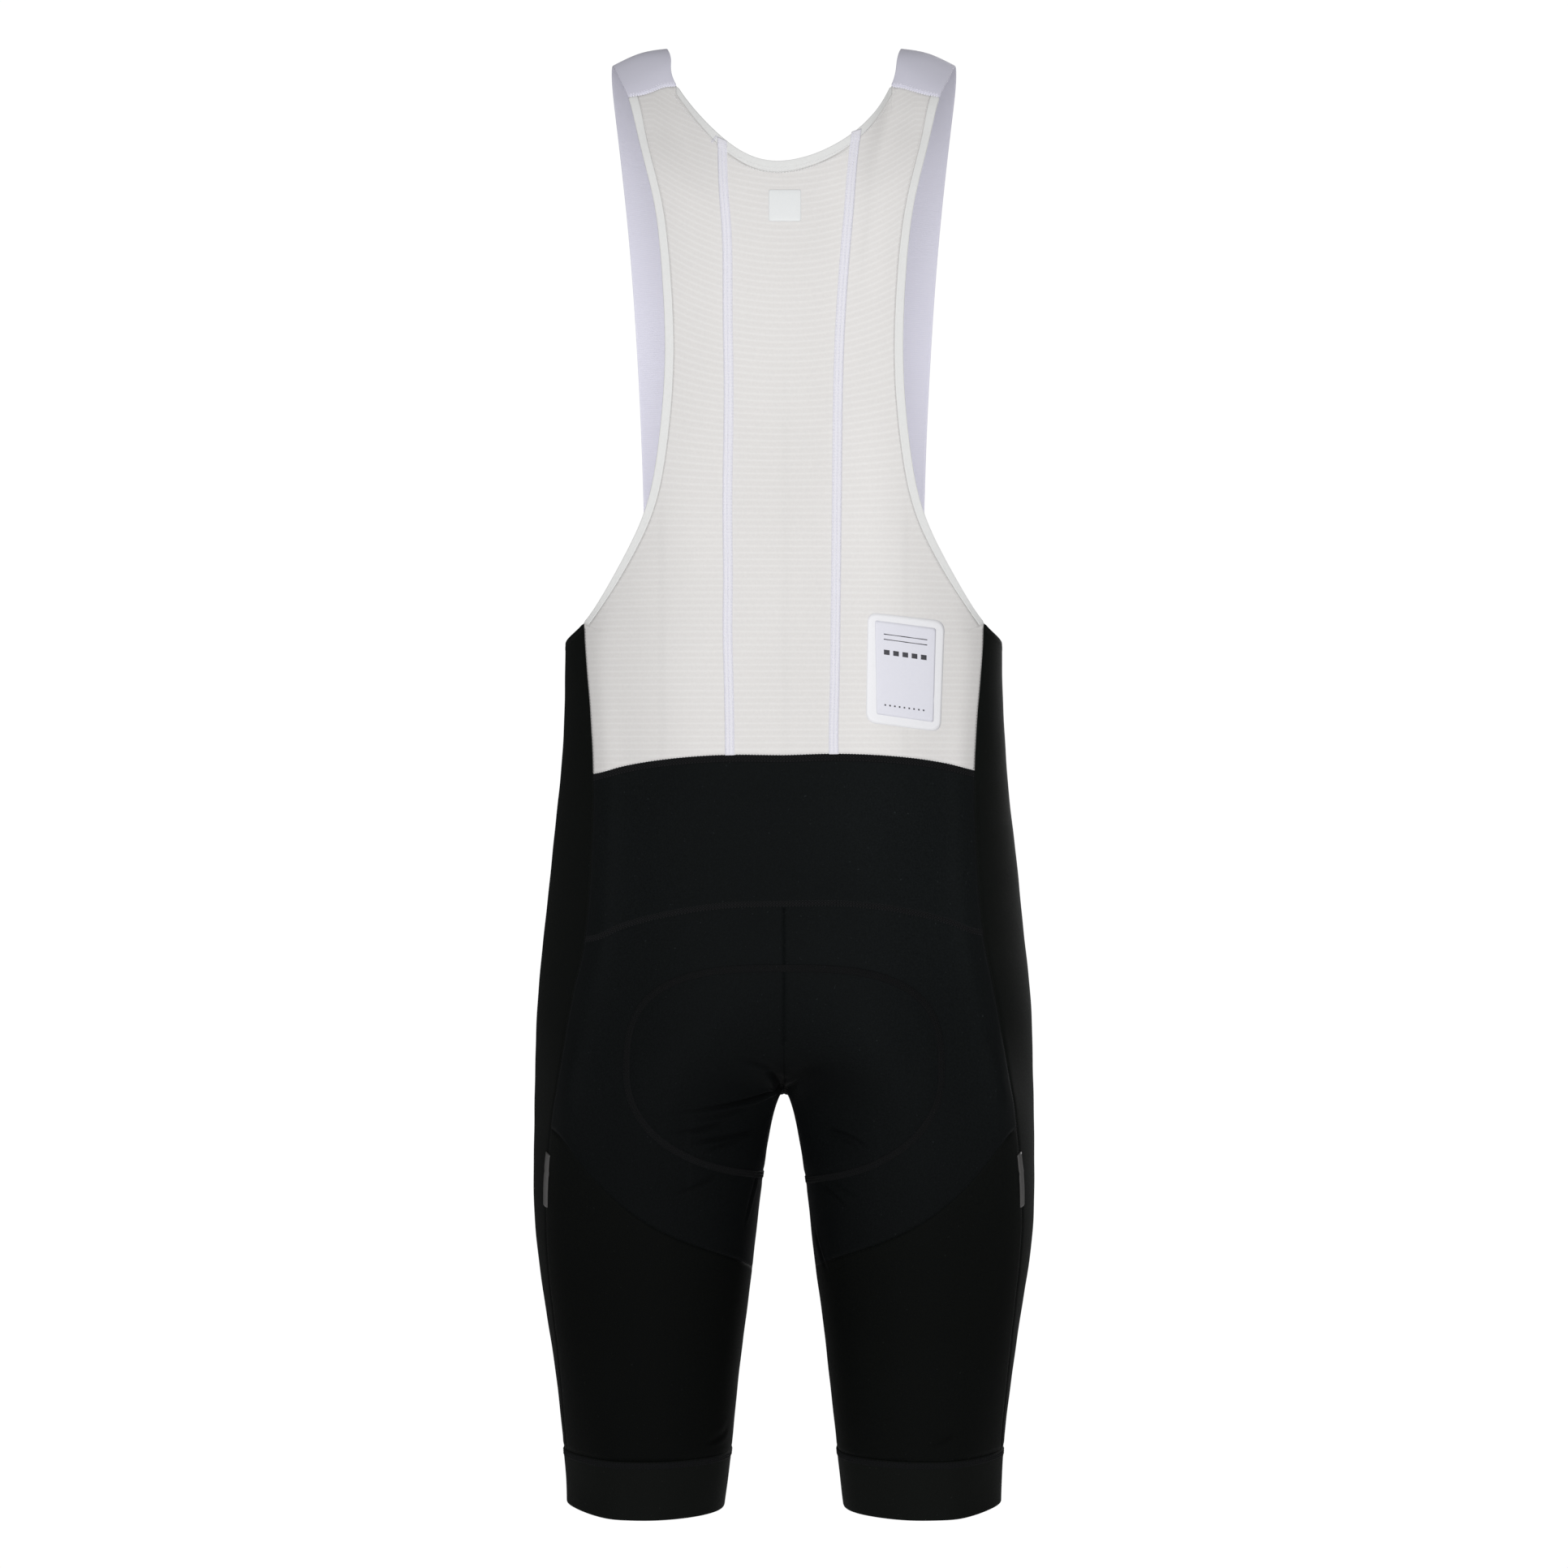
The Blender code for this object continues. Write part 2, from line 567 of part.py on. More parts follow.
LOOKS = {
    "mesh_knit": ((0.76, 0.75, 0.73), 0.85),
    "binding_knit": ((0.80, 0.80, 0.79), 0.8),
    "elastic": ((0.72, 0.70, 0.83), 0.7),
    "thermal_knit": ((0.010, 0.011, 0.013), 0.9),
    "gripper_knit": ((0.009, 0.009, 0.009), 0.85),
    "pad_foam": ((0.05, 0.05, 0.055), 0.9),
    "label_film": ((0.82, 0.82, 0.84), 0.6),
    "reflective": ((0.22, 0.21, 0.21), 0.45),
}
MATERIALS = {}


def build(name, points, faces, look):
    """One closed body from its points and faces, facing out."""
    if look not in MATERIALS:
        MATERIALS[look] = material(look, *LOOKS[look])
    mesh = bpy.data.meshes.new(name)
    shape = bmesh.new()
    verts = [shape.verts.new(p) for p in points]
    for face in faces:
        shape.faces.new([verts[i] for i in face])
    bmesh.ops.recalc_face_normals(shape, faces=shape.faces)
    shape.to_mesh(mesh)
    shape.free()
    if mesh.polygons and volume(mesh) < 0:
        mesh.flip_normals()
    mesh.materials.append(MATERIALS[look])
    made = bpy.data.objects.new(name, mesh)
    COLLECTION.objects.link(made)
    return made


def volume(mesh):
    total = 0.0
    for polygon in mesh.polygons:
        p = [mesh.vertices[i].co for i in polygon.vertices]
        for b, c in zip(p[1:], p[2:]):
            total += p[0].dot(b.cross(c))
    return total


def walled(name, outer, normals, faces, deep, proud, look):
    """A wall from a surface: its outer face stands proud of it, its inner face lies deep under it."""
    outer = np.asarray(outer)
    normals = np.asarray(normals)
    top = outer + normals * proud * MM
    low = outer - normals * deep * MM
    count = len(outer)
    edges = {}
    for face in faces:
        for a, b in zip(face, (*face[1:], face[0])):
            edges[(a, b)] = True
    sides = [
        (a, a + count, b + count, b) for a, b in edges if (b, a) not in edges
    ]
    both = [tuple(f) for f in faces] + [tuple(i + count for i in f[::-1]) for f in faces] + sides
    return build(name, np.vstack([top, low]), both, look)


def panel(shell, name, deep, look, proud=0.0):
    """A panel of the shell as a wall, set back by half the seam gap along its seams."""
    chosen = [i for i, tag in enumerate(shell.tags) if tag == name]
    own = set(chosen)
    used = sorted({v for i in chosen for v in shell.faces[i]})
    local = {v: i for i, v in enumerate(used)}
    points = shell.points[used].copy()
    pulls = {}
    for i in chosen:
        face = shell.faces[i]
        middle = shell.points[list(face)].mean(axis=0)
        for a, b in zip(face, (*face[1:], face[0])):
            owners = shell.edge_faces[frozenset((a, b))]
            if sum(o in own for o in owners) > 1:
                continue
            along = shell.points[b] - shell.points[a]
            inward = np.cross(shell.face_normals[i], along)
            inward /= np.linalg.norm(inward)
            if inward @ (middle - shell.points[a]) < 0:
                inward = -inward
            amount = SEAM_GAP / 2 * MM * 1.06 if len(owners) > 1 else 0.0
            for v in (a, b):
                pulls.setdefault(v, []).append((inward, amount))
    for v, edges in pulls.items():
        normal = shell.normals[v]
        rows = []
        for inward, amount in edges:
            flat = inward - normal * (inward @ normal)
            rows.append((flat / np.linalg.norm(flat), amount))
        lean = np.array([r[0] for r in rows])
        want = np.array([r[1] for r in rows])
        if len(rows) == 2 and abs(lean[0] @ lean[1]) > 0.97:
            move = (lean[0] + lean[1]) / 2 * want.max()
        else:
            move = np.linalg.lstsq(lean, want, rcond=1e-6)[0]
        points[local[v]] += move
    faces = [tuple(local[v] for v in shell.faces[i]) for i in chosen]
    return walled(name, points, shell.normals[used], faces, deep, proud, look)


def chain(shell, column, side, rows):
    """The shell's own points down a column of the cage, through the points between its rows."""
    stops = [shell.index[key(row, column, side)] for row in rows]
    out, links = [stops[0]], {}
    for edge in shell.edge_faces:
        a, b = tuple(edge)
        links.setdefault(a, []).append(b)
        links.setdefault(b, []).append(a)
    for a, b in zip(stops, stops[1:]):
        middle = [v for v in links[a] if v in links[b]]
        out += [min(middle, key=lambda v: np.linalg.norm(shell.points[v] - (shell.points[a] + shell.points[b]) / 2)), b]
    return out


def strip(shell, name, ids, width, clear, thick, look, trim=0.6):
    """A narrow strip over a seam, made from the seam's points moved out."""
    tree = BVHTree.FromPolygons([Vector(p) for p in shell.points], shell.faces)
    points, normals, faces = [], [], []
    for n, v in enumerate(ids):
        here = shell.points[v].copy()
        before = shell.points[ids[max(n - 1, 0)]]
        after = shell.points[ids[min(n + 1, len(ids) - 1)]]
        along = (after - before) / np.linalg.norm(after - before)
        if n == 0:
            here += along * trim * MM
        if n == len(ids) - 1:
            here -= along * trim * MM
        across = np.cross(along, shell.normals[v])
        across /= np.linalg.norm(across)
        for share in (-0.5, 0.0, 0.5):
            spot = Vector(here + across * share * width * MM)
            up = Vector(shell.normals[v])
            hit = tree.ray_cast(spot + up * 0.01, -up)[0] if share else spot
            points.append(np.array(hit))
            normals.append(shell.normals[v])
    for n in range(len(ids) - 1):
        for c in (0, 1):
            a = 3 * n + c
            faces.append((a, a + 1, a + 4, a + 3))
    return walled(name, points, normals, faces, -clear, clear + thick, look)


def pad(shell):
    """The seat pad: the shell's own faces under the pad's outline, cut to it and moved in."""
    edge = 0.02
    level = [pad_level(p) for p in shell.points]
    level = [edge + math.copysign(0.04, k - edge) if abs(k - edge) < 0.04 else k for k in level]
    points, normals, faces, made = [], [], [], {}

    def vertex(a, b=None):
        name = (a,) if b is None else (min(a, b), max(a, b))
        if name not in made:
            if b is None:
                point, normal = shell.points[a], shell.normals[a]
            else:
                lo, hi = name
                t = (level[lo] - edge) / (level[lo] - level[hi])
                point = shell.points[lo] * (1 - t) + shell.points[hi] * t
                normal = shell.normals[lo] * (1 - t) + shell.normals[hi] * t
                normal = normal / np.linalg.norm(normal)
            made[name] = len(points)
            points.append(point)
            normals.append(normal)
        return made[name]

    for i, face in enumerate(shell.faces):
        if not shell.tags[i].startswith(("seat_", "front_")) or max(level[v] for v in face) <= edge:
            continue
        cut = []
        for a, b in zip(face, (*face[1:], face[0])):
            if level[a] > edge:
                cut.append(vertex(a))
            if (level[a] > edge) != (level[b] > edge):
                cut.append(vertex(a, b))
        if len(cut) > 2:
            faces.append(tuple(cut))
    return walled("pad", points, normals, faces, WALL_KNIT + 0.4 + PAD_THICK, -(WALL_KNIT + 0.4), "pad_foam")


def flat_label(shell, name, corners, cells, radius, thick, clear, look, panels):
    """A label on the back: an even net over its outline, laid on the panel and moved out.

    corners: its four corners, across and height as seen, from the top corner nearest the wearer's left, clockwise.
    """
    faces = [shell.faces[i] for i, tag in enumerate(shell.tags) if tag in panels]
    tree = BVHTree.FromPolygons([Vector(p) for p in shell.points], faces)
    eye = Vector((0.0, FAR * MM, -EYE * MM))
    wide, tall = cells
    a, b, c, d = (np.array(k, float) for k in corners)
    points, normals, net = [], [], []
    size = (np.linalg.norm(b - a), np.linalg.norm(d - a))
    for j in range(tall + 1):
        for i in range(wide + 1):
            u, v = i / wide, j / tall
            # pull the corners in to round them
            px, py = u * size[0], v * size[1]
            dx = max(radius - px, px - (size[0] - radius), 0.0)
            dy = max(radius - py, py - (size[1] - radius), 0.0)
            far = math.hypot(dx, dy)
            if dx and dy and far > 0:
                most = max(dx, dy)
                px -= math.copysign(dx - dx * most / far, px - size[0] / 2)
                py -= math.copysign(dy - dy * most / far, py - size[1] / 2)
            u, v = px / size[0], py / size[1]
            spot = (a * (1 - u) + b * u) * (1 - v) + (d * (1 - u) + c * u) * v
            aim = Vector((spot[0] * MM, 0.0, (spot[1] - EYE) * MM)) - eye
            hit, normal, _, _ = tree.ray_cast(eye, aim.normalized())
            if normal.y < 0:
                normal = -normal
            points.append(np.array(hit))
            normals.append(np.array(normal))
    normals = np.array(normals)
    mean = normals.mean(axis=0)
    normals = np.tile(mean / np.linalg.norm(mean), (len(points), 1))
    for j in range(tall):
        for i in range(wide):
            k = j * (wide + 1) + i
            net.append((k, k + 1, k + wide + 2, k + wide + 1))
    return walled(name, points, normals, net, -clear, clear + thick, look)


def seat_straps(shell):
    """Lay the front ends of the straps on the outside of the front panels."""
    fronts = [shell.faces[i] for i, tag in enumerate(shell.tags) if tag.startswith("front_")]
    tree = BVHTree.FromPolygons([Vector(p) for p in shell.points], fronts)
    straps = sorted({v for i, tag in enumerate(shell.tags) if tag.startswith("strap_") for v in shell.faces[i]})
    for v in straps:
        point = shell.points[v]
        if point[1] > -0.05 or point[2] > -0.36:
            continue
        hit, normal, _, _ = tree.ray_cast(Vector((point[0], -0.3, point[2])), Vector((0, 1, 0)))
        if hit is None:
            continue
        if normal.y > 0:
            normal = -normal
        lifted = hit + normal * (WALL_STRAP + 0.4) * MM
        shell.points[v] = (point[0], lifted.y, point[2])
        shell.normals[v] = np.array(normal)


def main():
    fill_cage()
    fill_quads()
    shell = Shell(DETAIL)
    seat_straps(shell)
    for name in ("mesh_back_center", "mesh_back_left", "mesh_back_right"):
        panel(shell, name, WALL_MESH, "mesh_knit")
    panel(shell, "neck_binding", WALL_BIND - PROUD_BIND, "binding_knit", PROUD_BIND)
    panel(shell, "yoke", WALL_KNIT, "thermal_knit")
    for name in ("left", "right"):
        panel(shell, "arm_binding_" + name, WALL_BIND - PROUD_BIND, "binding_knit", PROUD_BIND)
        panel(shell, "strap_" + name, WALL_STRAP, "elastic")
        panel(shell, "seat_" + name, WALL_KNIT, "thermal_knit")
        panel(shell, "rear_leg_" + name, WALL_KNIT, "thermal_knit")
        panel(shell, "front_" + name, WALL_KNIT, "thermal_knit")
        panel(shell, "gripper_" + name, WALL_GRIP - PROUD_GRIP, "gripper_knit", PROUD_GRIP)
    back = ["yoke_top", "ribs", "edge", *BACK_HEIGHT]
    for side, name in ((1, "left"), (-1, "right")):
        ids = chain(shell, "B1", side, back)[:-1]
        strip(shell, "tape_" + name, ids, TAPE_WIDTH, 0.55, TAPE_THICK, "elastic", trim=1.4)
        ids = chain(shell, "SB", side, ["seat_seam", "low_thigh"])
        strip(shell, "tab_" + name, ids, 7.0, 0.35, 1.0, "reflective", trim=14.0)
    pad(shell)
    flat_label(
        shell, "neck_label", ((10.3, 388.5), (-10.9, 388.5), (-10.9, 367.8), (10.3, 367.8)),
        (2, 2), 0.0, LABEL_THICK, 0.6, "label_film", ("mesh_back_center",),
    )
    flat_label(
        shell, "back_patch", ((-54.6, 112.4), (-104.9, 106.5), (-102.3, 33.9), (-53.5, 40.3)),
        (8, 10), 6.5, LABEL_THICK, 0.9, "label_film", ("mesh_back_right",),
    )


main()
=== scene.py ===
import math

import bpy
import numpy as np
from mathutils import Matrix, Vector
from mathutils.bvhtree import BVHTree
from mathutils.kdtree import KDTree


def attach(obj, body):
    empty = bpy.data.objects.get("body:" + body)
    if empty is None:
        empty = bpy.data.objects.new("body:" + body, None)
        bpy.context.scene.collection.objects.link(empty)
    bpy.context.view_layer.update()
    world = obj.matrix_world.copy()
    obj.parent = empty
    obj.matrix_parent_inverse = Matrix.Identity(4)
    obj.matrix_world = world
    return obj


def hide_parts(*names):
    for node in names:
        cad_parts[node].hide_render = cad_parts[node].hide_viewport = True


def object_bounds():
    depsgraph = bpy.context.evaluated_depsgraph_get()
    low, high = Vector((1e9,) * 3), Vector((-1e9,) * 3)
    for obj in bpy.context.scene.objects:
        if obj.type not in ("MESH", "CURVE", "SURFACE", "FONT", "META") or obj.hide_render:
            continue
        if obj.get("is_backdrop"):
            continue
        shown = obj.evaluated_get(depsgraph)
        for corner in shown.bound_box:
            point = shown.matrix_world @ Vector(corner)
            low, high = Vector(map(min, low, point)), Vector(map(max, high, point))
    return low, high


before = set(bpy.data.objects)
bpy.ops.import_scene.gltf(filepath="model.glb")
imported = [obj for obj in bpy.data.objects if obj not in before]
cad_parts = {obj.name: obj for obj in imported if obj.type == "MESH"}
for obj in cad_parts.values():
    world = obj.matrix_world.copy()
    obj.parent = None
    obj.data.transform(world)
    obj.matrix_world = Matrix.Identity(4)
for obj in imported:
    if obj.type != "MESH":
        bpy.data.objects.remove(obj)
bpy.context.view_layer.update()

# ---------------------------------------------------------------- sizes, mm
MM = 0.001
EYE = 472.0  # the level of the eye below the shoulders
FAR = 2420.0  # how far behind the garment the eye stands
ROUND_BODY = 2.4  # squareness of the level sections of the trunk
ROUND_LEG = 2.1  # squareness of the level sections of the legs
SEAM_GAP = 0.3
WALL_MESH = 1.0
WALL_KNIT = 1.4
WALL_GRIP = 1.8
WALL_BIND = 1.8
WALL_STRAP = 1.4
PROUD_BIND = 0.4
PROUD_GRIP = 0.3
NECK_BIND = 7.0
ARM_BIND = 5.2
TAPE_WIDTH = 6.3
TAPE_THICK = 1.0
LABEL_THICK = 1.0
PAD_THICK = 3.6
PAD_HALF_BACK = 103.0
PAD_HALF_FRONT = 58.0
PAD_MIDDLE = -188.0
PAD_RISE_BACK = 67.5
PAD_RISE_FRONT = 30.0
PAD_DROP_LEFT = 67.5
PAD_DROP_RIGHT = 71.0
PAD_CURVE_TOP = 3.0  # squareness of its outline above its middle
PAD_CURVE_FOOT = 2.2  # and below
GRIP_TOP = -905.0
HEM = -942.0
HEM_RISE = 2.6  # how much higher the hem is at the outer side
DETAIL = 1
FIT_BACK = 40  # rounds of fitting that the back and the straps have
FIT_BODY = 5  # and the trunk and legs, whose tables are eased into each other

# Level sections: height, half width, reach behind, reach in front, half the gap between the legs
SECTION_COLUMNS = ("height", "half", "back", "front", "inner")
SECTIONS = (
    (-350, 141.0, 93.0, 105.0, 0.0),
    (-384, 142.0, 92.0, 103.0, 0.0),
    (-416, 143.3, 92.0, 101.0, 0.0),
    (-453, 144.9, 94.0, 99.0, 0.0),
    (-490, 149.1, 98.5, 98.0, 0.0),
    (-520, 152.3, 104.5, 97.0, 0.0),
    (-550, 155.4, 110.5, 96.0, 0.0),
    (-575, 158.0, 115.0, 95.5, 0.0),
    (-600, 160.5, 117.5, 95.5, 0.0),
    (-628, 162.4, 117.0, 95.5, 0.0),
    (-660, 163.7, 109.0, 95.0, 1.0),
    (-687, 164.5, 98.0, 93.0, 10.2),
    (-700, 164.7, 93.5, 91.5, 11.6),
    (-723, 164.8, 87.0, 89.0, 13.5),
    (-759, 163.4, 79.0, 84.5, 17.0),
    (-785, 161.1, 74.0, 80.5, 20.5),
    (-814, 157.3, 69.0, 75.5, 24.3),
    (-848, 150.9, 64.0, 69.0, 28.3),
    (-880, 144.9, 60.0, 64.0, 32.0),
    (-905, 142.9, 57.5, 61.0, 34.6),
    (-942, 140.7, 55.0, 58.5, 39.0),
)

# Columns of the shell from centre back (CB) round to centre front (CF); SB is the back side seam
COLUMNS = ("CB", "B1", "B2", "B3", "SB", "S", "FS", "F2", "F1", "CF")
# Rows of the trunk: heights above eye level at each column
TRUNK_HEIGHT = {
    "edge": (101.0, 101.5, 103.0, 104.3, 105.0, 89.5, 79.0, 71.0, 62.0, 58.0),
    "ribs": (60.0, 60.0, 58.0, 55.0, 54.0, 47.0, 42.0, 38.0, 34.0, 32.0),
    "yoke_top": (18.5, 19.2, 16.8, 12.0, 7.2, 2.0, -2.0, -4.0, -5.0, -6.0),
    "waist": (-30.0, -30.0, -33.0, -38.0, -43.0, -45.0, -46.0, -46.0, -46.0, -46.0),
    "yoke_foot": (-78.4, -78.7, -84.0, -92.6, -99.6, -96.0, -92.0, -89.0, -87.0, -86.0),
    "hip": (-118.0, -118.5, -121.0, -125.0, -130.0, -130.0, -127.0, -125.0, -123.0, -122.0),
    "seat": (-156.0, -157.0, -159.0, -159.0, -158.0, -156.0, -154.0, -153.0, -153.0, -152.0),
}
# Rows of the trunk: distance from the centre line at the back columns
TRUNK_ACROSS = {
    "edge": (0.0, 36.0, 75.0, 109.0, 130.8),
    "ribs": (0.0, 35.0, 76.0, 108.5, 127.0),
    "yoke_top": (0.0, 34.5, 76.0, 107.0, 124.6),
    "waist": (0.0, 35.5, 76.0, 107.5, 125.3),
    "yoke_foot": (0.0, 38.0, 77.0, 110.0, 130.0),
    "hip": (0.0, 41.0, 81.0, 115.5, 136.0),
    "seat": (0.0, 48.0, 89.0, 122.5, 141.5),
}
FRONT_TURN = {"S": 0.0, "FS": -38.0, "F2": -59.0, "F1": -76.0, "CF": -90.0}
YOKE_LEAN = {"yoke_top": 1.3, "yoke_foot": 2.3}
CLEFT = {"hip": 1.5, "seat": 8.0}

# The line under the crotch, from back to front: reach, height
CROTCH_COLUMNS = ("C1", "C2", "C3", "C4", "C5")
CROTCH = {"C1": (85.0, -184.0), "C2": (52.0, -199.0), "C3": (10.0, -203.5), "C4": (-36.0, -198.0), "C5": (-73.0, -179.0)}

# Rings of the leg: columns, and the turn round the leg at which each stands (0 outward, 90 back)
LEG_COLUMNS = ("B1", "B2", "B3", "SB", "S", "FS", "F2", "F1", "I3", "I2", "I1")
LEG_TURN = {"B1": 106.0, "B2": 80.0, "B3": 57.0, "S": -6.0, "FS": -37.0, "F2": -68.0, "F1": -104.0, "I3": -145.0, "I2": 180.0, "I1": 145.0}
LEG_HEIGHT = {
    "root": (-200.0, -194.0, -186.0, -182.0, -180.0, -181.0, -187.0, -197.0, -214.0, -216.0, -214.0),
    "thigh": (-248.0, -234.0, -214.0, -204.0, -204.0, -211.0, -228.0, -246.0, -262.0, -266.0, -262.0),
    "seat_seam": (-297.5, -275.0, -245.0, -224.5, -228.0, -244.0, -274.0, -300.0, -312.0, -316.0, -310.0),
    "low_thigh": (-333.0, -318.0, -300.0, -290.0, -291.0, -302.0, -320.0, -334.0, -345.0, -350.0, -345.0),
    "knee": (-382.0, -375.0, -366.0, -361.0, -361.0, -366.0, -375.0, -382.0, -388.0, -390.0, -388.0),
}
LEG_SIDE_SEAM = {"root": 145.6, "thigh": 149.6, "seat_seam": 152.2, "low_thigh": 155.8, "knee": 149.0}
LOW_TURN = {"SB": 14.0, "S": -16.0, "FS": -42.0}

# Rows of the back above the side panels: height and across at each column, then reach behind
BACK_HEIGHT = {
    "b1": (134.0, 134.5, 136.0, 137.5, 138.5),
    "b2": (173.0, 173.5, 175.5, 177.5, 178.5),
    "b3": (216.0, 217.0, 219.5, 222.5, 223.5),
    "b4": (262.0, 263.5, 267.0, 271.5, 273.5),
    "b5": (306.0, 308.5, 314.0, 320.5, 324.0),
    "b6": (348.0, 351.5, 360.0, 366.5, 370.0),
    "b7": (373.0, 378.0, 391.5, 399.0, 402.0),
    "b8": (390.0, 400.0, 425.0, 427.0, 428.0),
    "neck": (407.0, 422.0, 456.3, 452.6, 449.0),
}
BACK_ACROSS = {
    "b1": (0.0, 36.0, 67.0, 91.5, 109.6),
    "b2": (0.0, 36.0, 59.0, 75.5, 90.7),
    "b3": (0.0, 36.0, 54.5, 67.5, 81.6),
    "b4": (0.0, 36.0, 52.5, 64.0, 77.6),
    "b5": (0.0, 36.8, 52.5, 64.5, 78.7),
    "b6": (0.0, 38.5, 55.0, 68.5, 82.9),
    "b7": (0.0, 40.5, 59.5, 74.5, 89.6),
    "b8": (0.0, 42.0, 66.0, 81.5, 95.9),
    "neck": (0.0, 43.5, 70.5, 86.2, 101.2),
}
BACK_REACH = {
    "b1": (93.5, 93.0, 88.5, 80.0, 70.5),
    "b2": (96.5, 95.5, 93.2, 89.6, 84.5),
    "b3": (100.5, 99.5, 97.5, 95.2, 91.5),
    "b4": (105.0, 104.0, 102.0, 99.8, 96.8),
    "b5": (108.0, 107.0, 105.0, 102.5, 99.0),
    "b6": (107.5, 106.0, 102.0, 98.0, 93.0),
    "b7": (105.5, 103.0, 95.0, 89.5, 84.0),
    "b8": (102.5, 98.0, 74.0, 71.5, 69.0),
    "neck": (98.5, 89.5, 50.0, 52.0, 53.5),
}
# How far the two long back seams stand from even, by row: wearer's left, wearer's right
TAPE_SHIFT = {
    "edge": (1.0, -2.5), "ribs": (1.0, -2.0), "yoke_top": (1.0, -2.2), "b1": (0.6, -2.0), "b2": (1.0, -1.6),
    "b3": (0.6, -1.2), "b4": (0.2, -0.6), "b5": (0.0, 0.4), "b6": (-1.4, 1.8), "b7": (-1.8, 2.2),
    "b8": (-2.0, 2.5), "neck": (-3.2, 3.7),
}
TAPE_RISE = {"b7": 0.6, "b8": 2.2, "neck": 4.6}  # how much higher the wearer's right one is at the neck

# Rows of the strap over the shoulder, true sizes: (across, reach, height) of its inner and outer edge
STRAP_COLUMNS = ("across_in", "reach_in", "height_in", "across_out", "reach_out", "height_out")
STRAP = (
    (73.6, 28.0, -4.0, 106.4, 29.0, -15.0),
    (77.0, 3.0, 8.0, 111.6, 3.0, -3.0),
    (77.6, -22.0, 2.0, 113.0, -21.0, -11.0),
    (75.8, -47.0, -19.0, 111.4, -45.0, -31.0),
    (72.4, -69.0, -53.0, 108.2, -65.0, -62.0),
    (67.0, -89.0, -111.0, 103.4, -81.0, -115.0),
    (62.2, -101.5, -185.0, 98.8, -91.0, -187.0),
    (59.0, -106.5, -262.0, 95.6, -95.0, -263.0),
    (57.0, -106.0, -334.0, 94.0, -93.0, -334.0),
    (56.2, -103.0, -388.0, 93.2, -90.5, -385.0),
    (56.0, -101.5, -411.0, 93.0, -88.5, -405.0),
)
STRAP_ARCH = (1.4, 2.4, 2.2, 1.2, 0.4, 0.0)  # how far its middle rises between the edges, row by row


# ---------------------------------------------------------------- form
def at_height(name, height):
    """A section's size at a height, smoothly between the rows of its table."""
    z = np.array([row[0] for row in SECTIONS][::-1], float)
    size = np.array([row[SECTION_COLUMNS.index(name)] for row in SECTIONS][::-1], float)
    slope = np.gradient(size, z)
    i = int(np.clip(np.searchsorted(z, height) - 1, 0, len(z) - 2))
    h = z[i + 1] - z[i]
    t = min(max((height - z[i]) / h, 0.0), 1.0)
    return (
        (2 * t**3 - 3 * t**2 + 1) * size[i]
        + (t**3 - 2 * t**2 + t) * h * slope[i]
        + (3 * t**2 - 2 * t**3) * size[i + 1]
        + (t**3 - t**2) * h * slope[i + 1]
    )


def seen(across, height, reach):
    """The true point behind or before the shoulders' plane that is seen at this place on it."""
    k = (FAR - reach) / FAR
    return (across * k, reach, height * k - EYE)


def round_off(share, power):
    return (1 - min(abs(share), 1.0) ** power) ** (1 / power)


def trunk_across(across, height):
    """A point of the trunk's back, from its distance from the centre line."""
    reach = 0.0
    for _ in range(12):
        x, _, z = seen(across, height, reach)
        reach = at_height("back", z) * round_off(x / at_height("half", z), ROUND_BODY)
    return seen(across, height, reach)


def squared(turn, power):
    a = math.radians(turn)
    c, s = math.cos(a), math.sin(a)
    return (
        math.copysign(abs(c) ** (2 / power), c),
        math.copysign(abs(s) ** (2 / power), s),
    )


def trunk_turn(turn, height):
    c, s = squared(turn, ROUND_BODY)
    reach = 0.0
    for _ in range(12):
        z = height * (FAR - reach) / FAR - EYE
        reach = s * at_height("back" if s > 0 else "front", z)
    return (c * at_height("half", z), reach, z)


def leg_turn(turn, height, level=None):
    """A point round a leg; level gives the true height where the ring is level."""
    c, s = squared(turn, ROUND_LEG)
    reach = 0.0
    for _ in range(12):
        z = height * (FAR - reach) / FAR - EYE if level is None else level
        reach = s * at_height("back" if s > 0 else "front", z)
    half, inner = at_height("half", z), at_height("inner", z)
    return ((half + inner) / 2 + c * (half - inner) / 2, reach, z)


def leg_across(across, height):
    reach = 0.0
    for _ in range(12):
        x, _, z = seen(across, height, reach)
        half, inner = at_height("half", z), at_height("inner", z)
        share = (x - (half + inner) / 2) / ((half - inner) / 2)
        reach = at_height("back", z) * round_off(share, ROUND_LEG)
    return seen(across, height, reach)


def eased(share):
    share = min(max(share, 0.0), 1.0)
    return share * share * (3 - 2 * share)


def pad_level(point):
    """How far inside the pad's outline a point of the shell lies: 1 at its middle, 0 on the outline."""
    x, y, z = (float(c) / MM for c in point)
    k = FAR / (FAR - y)
    above = (z + EYE) * k - PAD_MIDDLE
    back = eased((y + 40) / 80)
    half = PAD_HALF_FRONT + (PAD_HALF_BACK - PAD_HALF_FRONT) * back
    rise = PAD_RISE_FRONT + (PAD_RISE_BACK - PAD_RISE_FRONT) * back
    tall = rise if above > 0 else (PAD_DROP_LEFT if x > 0 else PAD_DROP_RIGHT)
    power = PAD_CURVE_FOOT + (PAD_CURVE_TOP - PAD_CURVE_FOOT) * eased((above + 12) / 24)
    return 1 - (abs(x) * k / half) ** power - (abs(above) / tall) ** power


def mixed(a, b, share):
    return tuple((1 - share) * p + share * q for p, q in zip(a, b))


